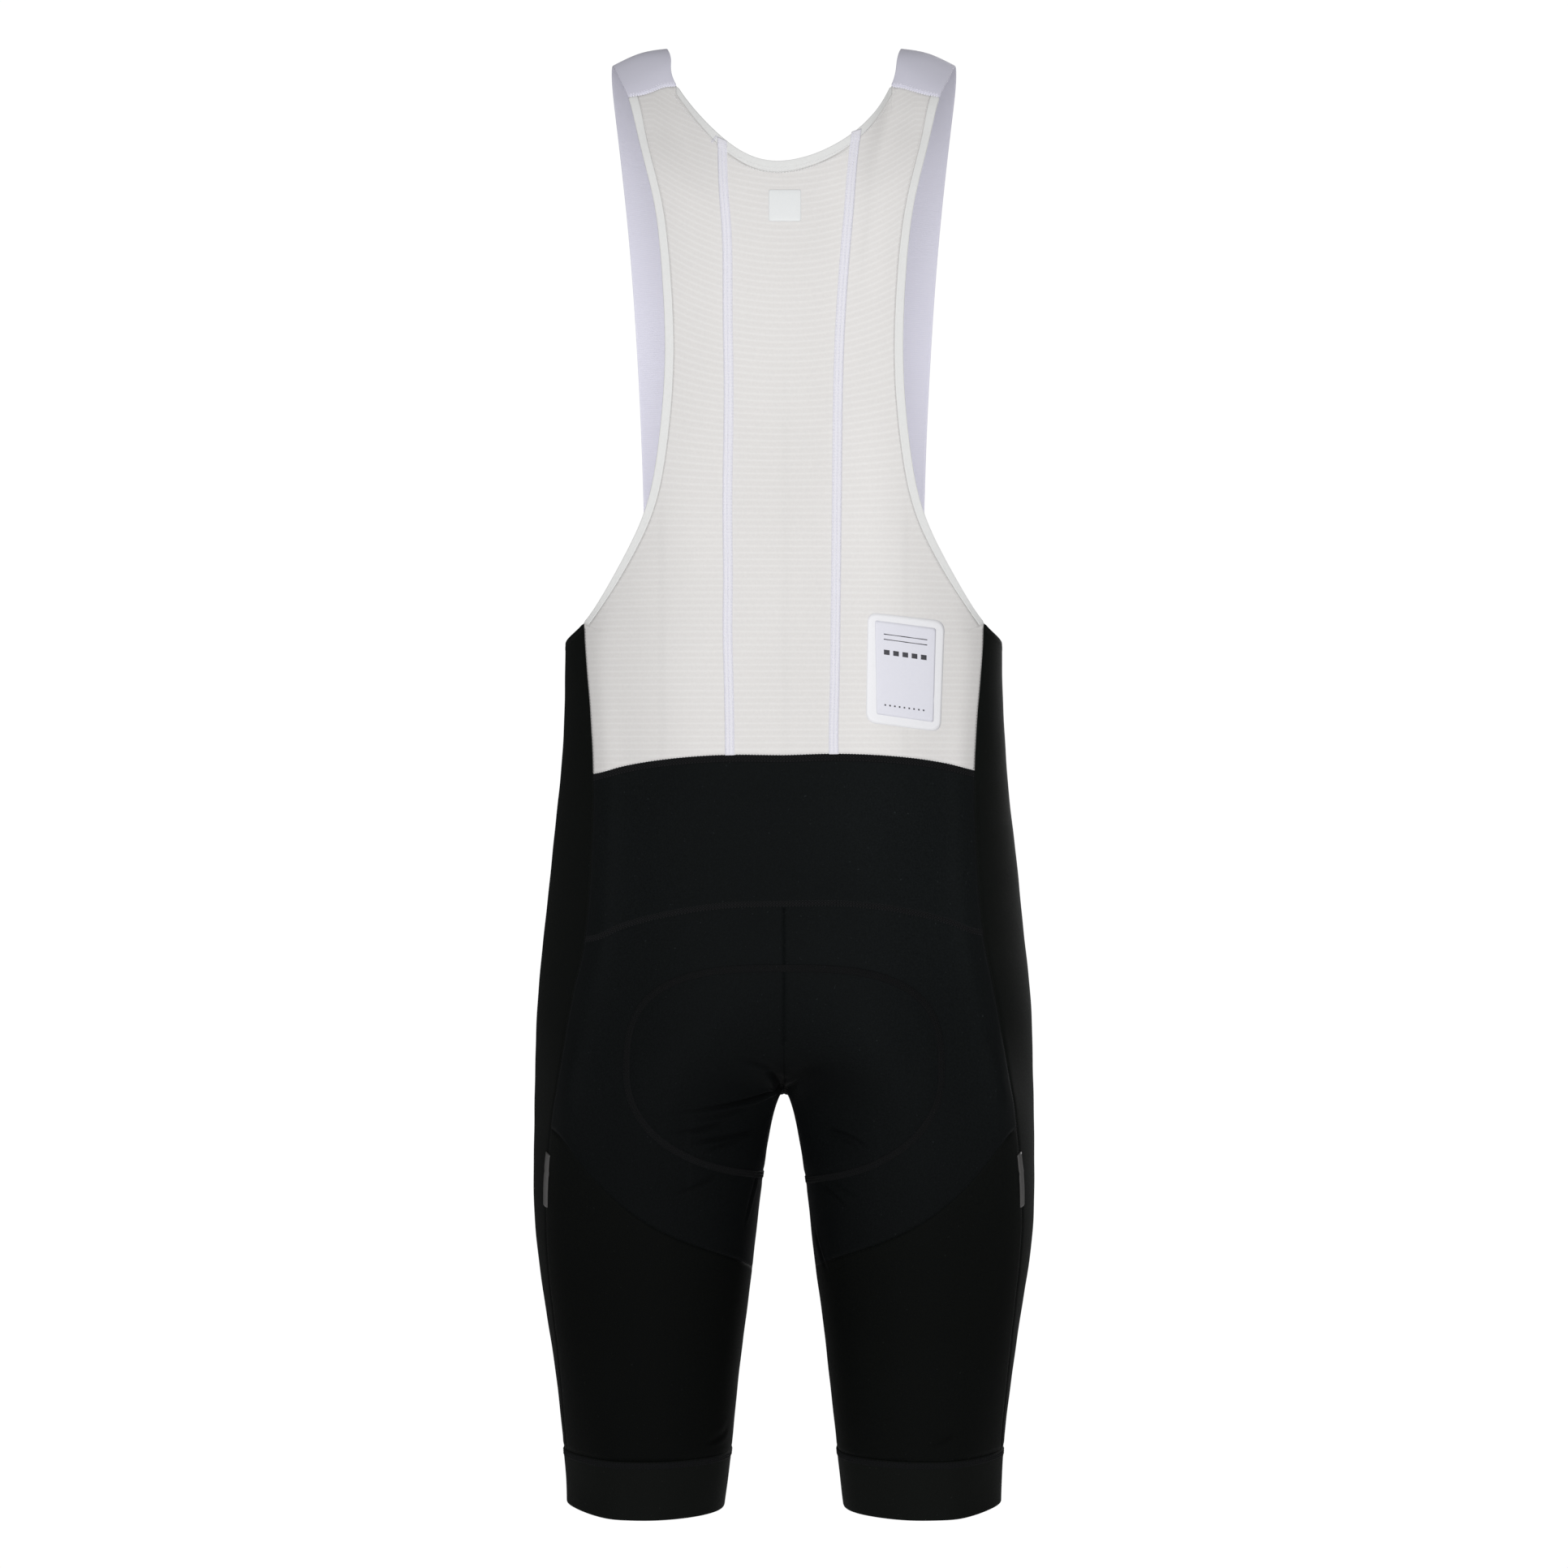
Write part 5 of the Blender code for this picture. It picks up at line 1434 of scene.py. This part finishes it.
def coverstitch(piece, way, width=4.2, pitch=2.1, thread=0.46, rise=0.2, trim=1.0):
    """A flat band of three rows with the looping thread between them."""
    side = width / 2 - thread
    for shift in (-side, 0.0, side):
        stitch_row(piece, way, shift, pitch, pitch * 0.78, thread, rise + 0.08, trim)
    zigzag(piece, way, -side, 0.0, pitch, thread * 0.8, rise, trim)
    zigzag(piece, way, 0.0, side, pitch, thread * 0.8, rise, trim)


# ---------------------------------------------------------------- values that the materials read
x, y, z = (SHELL.points / MM).T
smile = 0.0046 * np.clip((z + 340) / 240, 0, 1) ** 2 * (3 - 2 * np.clip((z + 340) / 240, 0, 1))
drop = np.clip((150 + z) / 120, 0, 1)
wide = np.abs(x)
RIB = z - smile * (np.minimum(wide, 83.0) ** 2 - 2.2 * np.maximum(wide - 83.0, 0.0) ** 2) + 0.25 * np.sin(z / 37 + x / 50)
# Mesh colour scale: a faint darker vertical line 77 mm out on each side, low down
MESH_PAINTED_SHADING = 1 - 0.030 * np.exp(-(((np.abs(x) - 77) / 2.2) ** 2)) * np.clip((-z - 285) / 20, 0, 1)
# painted shade: darker towards the sides, where the mesh turns away from the light
sides = np.clip((np.abs(x) - 45) / 60, 0, 1)
MESH_PAINTED_SHADING -= 0.075 * sides * sides * (3 - 2 * sides)
# painted shade: a faint darker line down the middle, where the cloth folds
MESH_PAINTED_SHADING -= 0.018 * np.exp(-(((x + 1.0) / 2.6) ** 2)) * np.clip((-z - 200) / 60, 0, 1)
# painted light: lighter towards the wearer's right
right_painted_light = np.clip((-x - 15) / 45, 0, 1)
MESH_PAINTED_SHADING += 0.050 * right_painted_light * right_painted_light * (3 - 2 * right_painted_light)
MESH_VALUES = {"rib": RIB, "across": x, "painted_shading": MESH_PAINTED_SHADING}
# painted light and shade on the black panels: darker towards the leg bottoms, lighter towards the wearer's right
low = np.clip((-z - 500) / 320, 0, 1)
BLACK_PAINTED_SHADING = (1.0 - 0.50 * low * low * (3 - 2 * low)) * (1 + 0.28 * np.clip((-x - 5) / 50, 0, 1))
# painted shade: dark spots in the deep fold at the crotch, behind
behind = np.clip((y + 10) / 30, 0, 1)
BLACK_PAINTED_SHADING *= 1 - 0.90 * behind * np.exp(-((x - 1) / 6.5) ** 2 - ((z + 663) / 11) ** 2)
BLACK_PAINTED_SHADING *= 1 - 0.38 * behind * np.exp(-((x + 21) / 24) ** 2 - ((z + 659) / 15) ** 2)
BLACK_PAINTED_SHADING *= 1 - 0.22 * behind * np.exp(-((x - 20) / 20) ** 2 - ((z + 664) / 11) ** 2)
BLACK_VALUES = {"painted_shading": BLACK_PAINTED_SHADING}

STRAP_RIB, STRAP_ACROSS, STRAP_PAINTED_SHADING = (np.zeros(len(SHELL.points)) for _ in range(3))
STRAP_ROWS = ["neck", *(f"k{i}" for i in range(len(STRAP)))]
for side, name in ((1, "left"), (-1, "right")):
    ids = SHELL.line(column_keys("B3", side, STRAP_ROWS))
    middle = SHELL.points[ids]
    run = np.concatenate([[0], np.cumsum(np.linalg.norm(np.diff(middle, axis=0), axis=1))]) / MM
    at = np.arange(0, run[-1], 0.5)
    middle = np.stack([np.interp(at, run, middle[:, i]) for i in range(3)], axis=1)
    ahead = np.gradient(middle, axis=0)
    ahead /= np.linalg.norm(ahead, axis=1)[:, None]
    own = np.unique(SHELL.squares_of(("strap_" + name,)))
    _, which = fields(middle, SHELL.points[own], 0.08)
    gap = SHELL.points[own] - middle[which]
    over = (gap * ahead[which]).sum(1)
    STRAP_RIB[own] = at[which] + over / MM
    STRAP_ACROSS[own] = np.linalg.norm(gap - ahead[which] * over[:, None], axis=1) / MM
    # painted shade: the strap darkens towards its top, where it turns over the shoulder away from the light, and most
    # along its top edge
    up = np.clip(1 + SHELL.points[own][:, 2] / 0.19, 0, 1)
    top_edge_shade = np.exp(-(((SHELL.points[own][:, 2] - SHELL.points[own][:, 2].max()) / 0.006) ** 2))
    STRAP_PAINTED_SHADING[own] = 1.0 - 0.34 * up**1.4 - 0.14 * top_edge_shade
STRAP_VALUES = {"rib": STRAP_RIB, "across": STRAP_ACROSS, "painted_shading": STRAP_PAINTED_SHADING}

# ---------------------------------------------------------------- panels
for part in ("center", "left", "right"):
    cloth("mesh_" + part, "mesh_back_" + part, 0.8, 0.0, "mesh_knit", MESH_VALUES)
cloth("neckline", "neck_binding", 1.2, BIND_RISE, "binding_knit")
cloth("waist_yoke", "yoke", 1.2, 0.0, "thermal_knit", BLACK_VALUES)
for name in ("left", "right"):
    cloth("armhole_" + name, "arm_binding_" + name, 1.2, BIND_RISE, "binding_knit")
    cloth("shoulder_strap_" + name, "strap_" + name, 1.2, 0.0, "elastic", STRAP_VALUES)
    cloth("seat_panel_" + name, "seat_" + name, 1.2, 0.0, "thermal_knit", BLACK_VALUES)
    cloth("rear_leg_panel_" + name, "rear_leg_" + name, 1.2, 0.0, "thermal_side", BLACK_VALUES)
    cloth("front_panel_" + name, "front_" + name, 1.2, 0.0, "thermal_side", BLACK_VALUES)
    cloth("hem_band_" + name, "gripper_" + name, 1.4, PROUD_GRIP, "gripper_knit")

# ---------------------------------------------------------------- tapes over the long back seams
TAPE_ROWS = ["yoke_top", "ribs", "edge", *BACK_HEIGHT]
TAPE_RING = ((-3.15, -0.2), (-3.15, 0.25), (-2.7, 0.55), (-1.5, 0.66), (0.0, 0.6), (1.5, 0.66), (2.7, 0.55), (3.15, 0.25), (3.15, -0.2))
TAPE_END = {"left": 1.8, "right": 1.2}  # how far each ends short of the neckline's edge
for side, name in ((1, "left"), (-1, "right")):
    ids = SHELL.line(column_keys("B1", side, TAPE_ROWS))
    points = SKIN[ids]
    run = np.concatenate([[0], np.cumsum(np.linalg.norm(np.diff(points, axis=0), axis=1))]) / MM
    at = np.arange(0, run[-1] - TAPE_END[name], 1.0)
    way = track(np.stack([np.interp(at, run, points[:, i]) for i in range(3)], axis=1), 1.4, smooth=3)
    sweep("back_tape_" + name, way, TAPE_RING, "tape_knit", ("tape_" + name,), values="strip", slant=2.2)
    piece = "tape_stitches_" + name
    for shift in (-2.15, 0.0, 2.15):
        stitch_row(piece, way, shift, 1.9, 1.5, 1.0, 0.62, 0.6, 0.55)
        zigzag(piece, way, shift - 0.75, shift + 0.75, 1.9, 0.3, 0.62)

# ---------------------------------------------------------------- seams with bands
yoke_top = track(SHELL.line(back_row("yoke_top")), 1.2, shift=2.0, smooth=2)
yoke_foot = track(SHELL.line(back_row("yoke_foot")), 1.2, smooth=2)
pad_way = track(OUTLINE, 1.2, closed=True, smooth=6)
BANDS = []
for way in (yoke_top, yoke_foot, pad_way):
    sweep("", way, band_ring(4.8, 0.22), "thermal_knit", to=BANDS)
coverstitch("yoke_stitches", yoke_top, 4.7, 2.0, 0.5, 0.24)
coverstitch("yoke_stitches", yoke_foot, 4.5, 2.0, 0.5, 0.24)
coverstitch("pad_stitches", pad_way, 4.4, 2.0, 0.5, 0.24)
# the seam's own thread shows as a scalloped white edge above the yoke
edge_way = track(SHELL.line(back_row("yoke_top")), 1.2, shift=-0.5)
stitch_row("yoke_edge_stitches", edge_way, 0.0, 1.9, 1.5, 0.6, 0.22)

LEG_ROWS = ["root", "thigh", "seat_seam", "low_thigh", "knee"]
for side, name in ((1, "left"), (-1, "right")):
    # hem bands: the fold, then three rows below it
    ring = [key("grip", c, side) for c in [*LEG_COLUMNS, LEG_COLUMNS[0]]]
    ids = SHELL.line(ring)[:-1]
    down = 2.6 if side > 0 else -2.6
    probe = track(ids, 1.2, closed=True)
    down = 2.6 if probe.side[:, 2].mean() < 0 else -2.6
    way = track(ids, 1.2, closed=True, shift=down, smooth=2, only=("gripper_" + name,))
    coverstitch("hem_stitches_" + name, way, 3.6, 2.0, 0.44, 0.12)
    sweep("", way, band_ring(3.8, 0.12), "gripper_knit", to=BANDS)
    fold = track(ids, 1.2, closed=True, shift=down * 0.25)
    stitch_row("hem_stitches_" + name, fold, 0.0, 2.0, 1.6, 0.42, 0.05)
    # side seam, from the top of the side panel to the hem band
    rows = [*TRUNK_HEIGHT, *LEG_ROWS, "grip"]
    ids = SHELL.line(column_keys("SB", side, rows))
    way = track(ids, 1.3, smooth=2)
    stitch_row("seam_stitches_" + name, way, 1.0 * side, 2.0, 1.2, 0.5, 0.10, 3.0)
    stitch_row("seam_stitches_" + name, way, -0.7 * side, 2.0, 1.0, 0.32, 0.04, 3.0)
    # the curved seam under the seat, round to the inner thigh
    ring = [key("seat_seam", c, side) for c in ("SB", "B3", "B2", "B1", "I1", "I2")]
    way = track(SHELL.line(ring), 1.3, smooth=2)
    stitch_row("seam_stitches_" + name, way, 0.9, 2.4, 1.5, 0.3, 0.0, 2.0)
    # folded top edge of the side and front panels
    columns = ("SB", "S", "FS", "F2", "F1", "CF")
    ids = SHELL.line([key("edge", c, side) for c in columns])
    for off in (2.2, 3.4):
        way = track(ids, 1.2, shift=off * side, smooth=2, only=("front_" + name,))
        if way.points[:, 2].mean() > SKIN[ids][:, 2].mean():
            way = track(ids, 1.2, shift=-off * side, smooth=2, only=("front_" + name,))
        stitch_row("front_edge_stitches", way, 0.0, 2.2, 1.5, 0.36, 0.04, 2.0)
    # strap to mesh, and strap to front
    ids = SHELL.line([key("neck", c, side) for c in ("B2", "B3", "SB")])
    way = track(ids, 0.9, only=("strap_" + name,))
    toward = 1.9 if (way.side @ np.array([0, 0, 1.0])).mean() > 0 else -1.9
    way = track(ids, 0.9, shift=toward, only=("strap_" + name,))
    for off in (0.2, 1.3):
        stitch_row("strap_stitches_" + name, way, off * toward / 1.9, 1.8, 1.35, 0.62, 0.12, 0.6)
    zigzag("strap_stitches_" + name, way, 0.0, 1.1 * toward / 1.9, 1.8, 0.34, 0.10, 0.6)
    below = track(ids, 0.9, shift=toward * 0.1)
    for off in (-0.5, 0.3):
        stitch_row("strap_stitches_" + name, below, off, 1.6, 1.7, 0.95, 0.12, 0.5)
    last = STRAP_ROWS[-1]
    ids = SHELL.line([key(last, c, side) for c in ("B2", "B3", "SB")])
    way = track(ids, 0.9, only=("strap_" + name,))
    toward = 1.0 if (way.side @ np.array([0, 0, 1.0])).mean() > 0 else -1.0
    for off in (2.0, 8.0):
        row = track(ids, 0.9, shift=toward * off, only=("strap_" + name,))
        stitch_row("strap_stitches_" + name, row, 0.0, 1.9, 1.5, 0.45, 0.05, 1.5)
    # armhole: a row just inside the binding, of grey grains that are painted shade in its needle holes
    rim = SHELL.line(column_keys("SB", side, ["edge", *BACK_HEIGHT]))
    way = track(rim, 1.2, shift=0.0)
    inward = ARM_BIND + 0.6
    sign = 1 if (way.side[:, 0].mean() * side) < 0 else -1
    way = track(rim, 1.2, shift=sign * inward, smooth=2)
    stitch_row("needle_holes", way, 0.0, 1.9, 1.3, 0.32, 0.0, 2.0)

# the middle seams, behind and before
for keys in (
    [key(r, "CB", 1) for r in ("yoke_foot", "hip", "seat")],
    [key(r, "CF", 1) for r in ("edge", "ribs", "yoke_top", "waist", "yoke_foot", "hip", "seat")]
    + [key("crotch", "C5", 1)],
):
    way = track(SHELL.line(keys), 1.3)
    stitch_row("middle_stitches", way, 0.9, 2.3, 1.4, 0.32, 0.02, 3.0)
    stitch_row("middle_stitches", way, -0.9, 2.3, 1.4, 0.32, 0.02, 3.0)

# neckline: twin rows, one in the binding and one at its edge
centre = SHELL.line([key("neck", "B1", -1), key("neck", "CB", 1), key("neck", "B1", 1)])
for off, thick in ((4.3, 0.5), (7.5, 0.75)):
    stitch_row("neck_stitches", track(centre, 1.0, shift=off, smooth=4), 0.0, 1.9, 1.6, thick, 0.08, 3.6)
# grey grains between the rows: painted shade along the binding's fold
stitch_row("needle_holes", track(centre, 1.0, shift=6.3, smooth=4), 0.0, 1.9, 1.9, 0.28, 0.0, 3.6)
for side in (1, -1):
    flank = SHELL.line([key("neck", "B1", side), key("neck", "B2", side)])
    way = track(flank, 1.0, shift=4.3 * side, smooth=2)
    stitch_row("neck_stitches", way, 0.3, 1.9, 1.5, 0.6, 0.08, 3.2)
    # grey grains beside them: painted shade in the needle holes
    stitch_row("needle_holes", way, -0.7 * side, 1.9, 1.1, 0.26, 0.0, 3.2)
# a small bar where the neckline's rows meet the left tape
hit = np.array(on_body(45.6, 421.5))
for k in range(-3, 4):
    off = np.array((0.5, 0.0, -0.6)) * k * MM
    way = track([hit + off + np.array((2.0, 0, 1.9)) * MM, hit + off - np.array((2.0, 0, 1.9)) * MM], 0.6)
    stitch_row("tape_bar", way, 0.0, 2.4, 2.3, 0.6, 0.16, 0.2)

joined("seam_bands", BANDS, "band_knit")
LOOK_OF = {
    "pad_stitches": "thread_pad", "hem": "thread_pad",
    "tape": "thread_lilac", "strap": "thread_lilac", "neck": "thread_white", "yoke_edge": "thread_white",
    "needle_holes": "hole_shade_grey", "seam": "thread_seam", "middle": "thread_seam",
}
for name, parts in STITCHES.items():
    look = next((v for k, v in LOOK_OF.items() if name.startswith(k)), "thread_black")
    joined(name, parts, look)


# ---------------------------------------------------------------- plates: labels and their print
def plate(name, outline, panels, low, high, look, stands_for=(), rings=(0.0, 0.35, 0.7, 0.94, 1.0), to=None, hole=None):
    """A thin plate over an outline seen from behind, laid on the cloth; its rim is eased down."""
    squares = SHELL.squares_of(panels)
    if panels not in TREES:
        TREES[panels] = tree_of(SKIN, squares)
    tree = TREES[panels]
    outline = np.array(outline, float)
    centre = outline.mean(0)
    n = len(outline)
    hits, ups = [], []
    for share in rings:
        for p in outline if share > 0 else outline[:1]:
            spot = centre + (p - centre) * share
            aim = Vector((spot[0] * MM, 0.0, (spot[1] - EYE) * MM)) - EYE_BACK
            hit, flat, face, _ = tree.ray_cast(EYE_BACK, aim.normalized())
            if hit is None:
                hit, flat, face, _ = tree.find_nearest(Vector((spot[0] * 0.96 * MM, 0.095, (spot[1] * 0.96 - EYE) * MM)))
            corner = squares[face]
            gap = np.linalg.norm(SKIN[corner] - np.array(hit), axis=1) + 1e-6
            up = (SKIN_NORMALS[corner] / gap[:, None] ** 2).sum(0)
            hits.append(np.array(hit))
            ups.append(up / np.linalg.norm(up))
    hits, ups = np.array(hits), np.array(ups)
    rise = np.full(len(hits), high)
    rise[-n:] = low + (high - low) * 0.55
    top, foot = hits + ups * rise[:, None] * MM, hits + ups * low * MM
    count = len(hits)
    tris, quads = [], []
    for k in range(n):
        m = (k + 1) % n
        tris.append((0, 1 + k, 1 + m))
        tris.append((count, count + 1 + m, count + 1 + k))
        for r in range(len(rings) - 2):
            a, b = 1 + r * n + k, 1 + r * n + m
            quads.append((a, a + n, b + n, b))
            quads.append((count + a, count + b, count + b + n, count + a + n))
        a, b = 1 + (len(rings) - 2) * n + k, 1 + (len(rings) - 2) * n + m
        quads.append((a, a + count, b + count, b))
    part = (np.vstack([top, foot]), np.array(quads), np.array(tris))
    if to is not None:
        to.append(part)
        return None
    return joined(name, [part], look, stands_for)


def rounded(corners, radius, per=8):
    """A four-cornered outline with rounded corners, clockwise as seen."""
    corners = [np.array(c, float) for c in corners]
    out = []
    for k in range(4):
        here, before, after = corners[k], corners[k - 1], corners[(k + 1) % 4]
        a = here + (before - here) / np.linalg.norm(before - here) * radius
        b = here + (after - here) / np.linalg.norm(after - here) * radius
        for t in np.linspace(0, 1, per):
            out.append((1 - t) ** 2 * a + 2 * t * (1 - t) * (here * 0.85 + (a + b) / 2 * 0.15) + t**2 * b)
        for t in (0.25, 0.5, 0.75):
            nxt = after + (here - after) / np.linalg.norm(here - after) * radius
            out.append(b * (1 - t) + nxt * t)
    return out


def from_pixels(*corners):
    """Places in the photograph's own frame of 1932 across, as seen sizes."""
    return [((966 - px) * 0.53, (966 - py) * 0.53) for px, py in corners]


LABEL = from_pixels((947, 233), (987, 233), (987, 272), (947, 272))
plate("neck_square", rounded(LABEL, 1.0, 4), ("mesh_back_center",), 0.0, 0.32, "label_film", ("neck_label",))
PATCH = from_pixels((1069, 754), (1164, 765), (1159, 902), (1067, 890))
INNER = from_pixels((1078, 764), (1153, 774), (1150, 890), (1080, 880))
RIGHT_MESH = ("mesh_back_right",)
plate("patch_base", rounded(PATCH, 6.0), RIGHT_MESH, 0.0, 0.45, "patch_film", ("back_patch",))
plate("patch_field", rounded(INNER, 1.4, 4), RIGHT_MESH, 0.4, 0.56, "patch_panel")
PRINT = []


def on_field(u, v):
    a, b, c, d = (np.array(k) for k in INNER)
    return (a * (1 - u) + b * u) * (1 - v) + (d * (1 - u) + c * u) * v


def mark(u0, v0, u1, v1):
    plate("", [on_field(u, v) for u, v in ((u0, v0), ((u0 + u1) / 2, v0), (u1, v0), (u1, v1), ((u0 + u1) / 2, v1), (u0, v1))],
          RIGHT_MESH, 0.5, 0.66, "", rings=(0.0, 0.6, 1.0), to=PRINT)


# a plain design of its own: a row of five small squares under two fine ruled lines, and a dotted foot line
for k in range(5):
    mark(0.14 + 0.155 * k, 0.30, 0.235 + 0.155 * k, 0.352)
for v in (0.13, 0.185):
    mark(0.14, v, 0.86, v + 0.010)
for k in range(9):
    mark(0.14 + 0.0834 * k, 0.88, 0.168 + 0.0834 * k, 0.897)
joined("patch_print", PRINT, "print_dark")

# ---------------------------------------------------------------- reflective tabs on the side seams
TAB_RING = ((-3.4, -0.1), (-3.5, 0.35), (-3.1, 0.85), (0.0, 1.15), (3.1, 0.85), (3.5, 0.35), (3.4, -0.1))
for side, name in ((1, "left"), (-1, "right")):
    ids = SHELL.line(column_keys("SB", side, ["seat_seam", "low_thigh"]))
    points = SKIN[ids]
    run = np.concatenate([[0], np.cumsum(np.linalg.norm(np.diff(points, axis=0), axis=1))]) / MM
    keep = (run > 15.0) & (run < run[-1] - 13.0)
    way = track(points[keep], 1.2, smooth=2)
    t = np.linspace(0, 1, len(way.points))
    way.points = way.points + way.side * (0.7 * np.exp(-(((t - 0.36) / 0.05) ** 2)) * MM)[:, None]
    way.points = way.points + way.normals * (0.35 * np.sin(t * math.pi) * MM)[:, None]
    sweep("side_tab_" + name, way, TAB_RING, "reflective", ("tab_" + name,))


# ---------------------------------------------------------------- the seat pad, crowned, with its channels
def make_seat_pad():
    squares = SHELL.squares_of(("seat_left", "seat_right", "front_left", "front_right"))
    used = np.unique(squares)
    level = {int(v): pad_level(SHELL.points[v]) - 0.03 for v in used}
    points, ups, depth, made, faces = [], [], [], {}, []

    def vertex(a, b=None):
        name = (a,) if b is None else (min(a, b), max(a, b))
        if name not in made:
            if b is None:
                p, n, k = SHELL.points[a], SHELL.normals[a], level[a]
            else:
                lo, hi = name
                t = level[lo] / (level[lo] - level[hi])
                p = SHELL.points[lo] * (1 - t) + SHELL.points[hi] * t
                n = SHELL.normals[lo] * (1 - t) + SHELL.normals[hi] * t
                n, k = n / np.linalg.norm(n), 0.0
            made[name] = len(points)
            points.append(p)
            ups.append(n)
            depth.append(k)
        return made[name]

    for a, b, c, d in squares.tolist():
        for face in ((a, b, c), (a, c, d)):
            if max(level[v] for v in face) <= 0:
                continue
            cut = []
            for p, q in zip(face, (*face[1:], face[0])):
                if level[p] > 0:
                    cut.append(vertex(p))
                if (level[p] > 0) != (level[q] > 0):
                    cut.append(vertex(p, q))
            for i in range(1, len(cut) - 1):
                faces.append((cut[0], cut[i], cut[i + 1]))
    points, ups, depth, faces = (np.array(v) for v in (points, ups, depth, faces))
    across = np.abs(points[:, 0]) / MM
    crown = np.clip(depth / 0.45, 0, 1)
    crown = crown * crown * (3 - 2 * crown)
    groove = 0.55 * np.exp(-(((across - 9.0) / 2.4) ** 2)) + 0.5 * np.exp(-(((depth - 0.52) / 0.035) ** 2))
    thick = 0.7 + (PAD_THICK - 0.9) * np.clip(crown - groove * crown, 0, 1)
    crease, _ = crease_lift(points, ups)
    outer = points + ups * (crease - 1.85 * MM)[:, None]
    inner = points + ups * (crease - (1.85 + thick) * MM)[:, None]
    n = len(points)
    directed = np.vstack([faces[:, [i, (i + 1) % 3]] for i in range(3)])
    code, back = directed[:, 0] * n + directed[:, 1], directed[:, 1] * n + directed[:, 0]
    edge = directed[~np.isin(code, back)]
    sides = np.stack([edge[:, 1], edge[:, 0], edge[:, 0] + n, edge[:, 1] + n], axis=1)
    return show("seat_pad", np.vstack([outer, inner]), (sides, np.vstack([faces, faces[:, ::-1] + n])), "pad_foam", ("pad",))


make_seat_pad()


# ================================================================ the columns of a table of what each piece of cloth was cut to; its rows are not given here
# name, width, length, share of that rectangle, how it is held, what it hangs from, what is sewn on it
SHEET_COLUMNS = ("piece", "width", "length", "share", "held", "rests_on", "with_pieces")


# ================================================================ studio
def studio():
    world = bpy.data.worlds.new("studio")
    world.use_nodes = True
    tree = world.node_tree
    back = tree.nodes["Background"]
    back.inputs[0].default_value = (1.0, 1.0, 1.0, 1.0)
    path = tree.nodes.new("ShaderNodeLightPath")
    level = tree.nodes.new("ShaderNodeMapRange")
    level.inputs["To Max"].default_value = 1.02
    tree.links.new(path.outputs["Is Camera Ray"], level.inputs["Value"])
    place = tree.nodes.new("ShaderNodeTexCoord")
    split = tree.nodes.new("ShaderNodeSeparateXYZ")
    tree.links.new(place.outputs["Generated"], split.inputs[0])
    side = calc(tree, "MULTIPLY_ADD", split.outputs[1], 0.27, WORLD_LIGHT)
    tree.links.new(calc(tree, "MULTIPLY_ADD", split.outputs[2], -0.10, side), level.inputs["To Min"])
    tree.links.new(level.outputs[0], back.inputs[1])
    bpy.context.scene.world = world

    def softbox(name, place, aim, size, power):
        light = bpy.data.lights.new(name, "AREA")
        light.shape, light.size, light.energy = "SQUARE", size, power
        made = bpy.data.objects.new(name, light)
        made.location = place
        made.rotation_euler = (Vector(place) - Vector(aim)).to_track_quat("Z", "Y").to_euler()
        bpy.context.scene.collection.objects.link(made)

    middle = (0.0, 0.0, -0.5)
    softbox("key", (0.12, 3.3, 0.02), middle, 1.7, KEY_POWER)
    softbox("fill", (-1.0, -3.0, 0.6), middle, 2.2, FILL_POWER)
    floor = bpy.data.meshes.new("studio_floor")
    s, far, low = 1.65, 6.0, -1.34
    floor.from_pydata([(-s, -s, low), (s, -s, low), (s, s, low), (-s, s, low)], [], [(0, 1, 2, 3)])
    apron = bpy.data.meshes.new("studio_apron")
    apron.from_pydata([(-far, -s, low), (-s, -s, low), (-s, s, low), (-s, far, low), (-far, far, low), (far, -s, low), (far, far, low), (s, far, low),
                       (s, s, low), (s, -s, low)], [], [(0, 1, 2, 3, 4), (5, 6, 7, 8, 9), (2, 8, 7, 3)])
    made, shade, shader = paint("studio_floor")
    soft = grain(shade, 3.0)
    shade.links.new(blend_colours(shade, soft, (0.84, 0.84, 0.84, 1), (0.86, 0.86, 0.86, 1)), shader.inputs["Base Color"])
    shader.inputs["Roughness"].default_value = 0.9
    shader.inputs["Specular IOR Level"].default_value = 0.1
    shader.inputs["Emission Color"].default_value = (1, 1, 1, 1)
    shader.inputs["Emission Strength"].default_value = 0.15
    floor.materials.append(made)
    ground = bpy.data.objects.new("studio_floor", floor)
    bpy.context.scene.collection.objects.link(ground)
    ground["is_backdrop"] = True
    apron.materials.append(made)
    around = bpy.data.objects.new("studio_apron", apron)
    bpy.context.scene.collection.objects.link(around)
    around.visible_diffuse = around.visible_glossy = False
    around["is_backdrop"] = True
    camera = bpy.data.cameras.new("camera")
    camera.lens, camera.sensor_width = 85.0, 36.0
    camera.clip_start, camera.clip_end = 0.05, 60.0
    seen_from = bpy.data.objects.new("camera", camera)
    seen_from.location = (0.0, FAR * MM, -EYE * MM)
    seen_from.rotation_euler = (math.radians(90), 0.0, math.radians(180))
    bpy.context.scene.collection.objects.link(seen_from)
    bpy.context.scene.camera = seen_from
    bpy.context.scene.view_settings.view_transform = "Standard"


WORLD_LIGHT = 0.36
KEY_POWER = 58.0
FILL_POWER = 70.0
studio()

low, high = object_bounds()
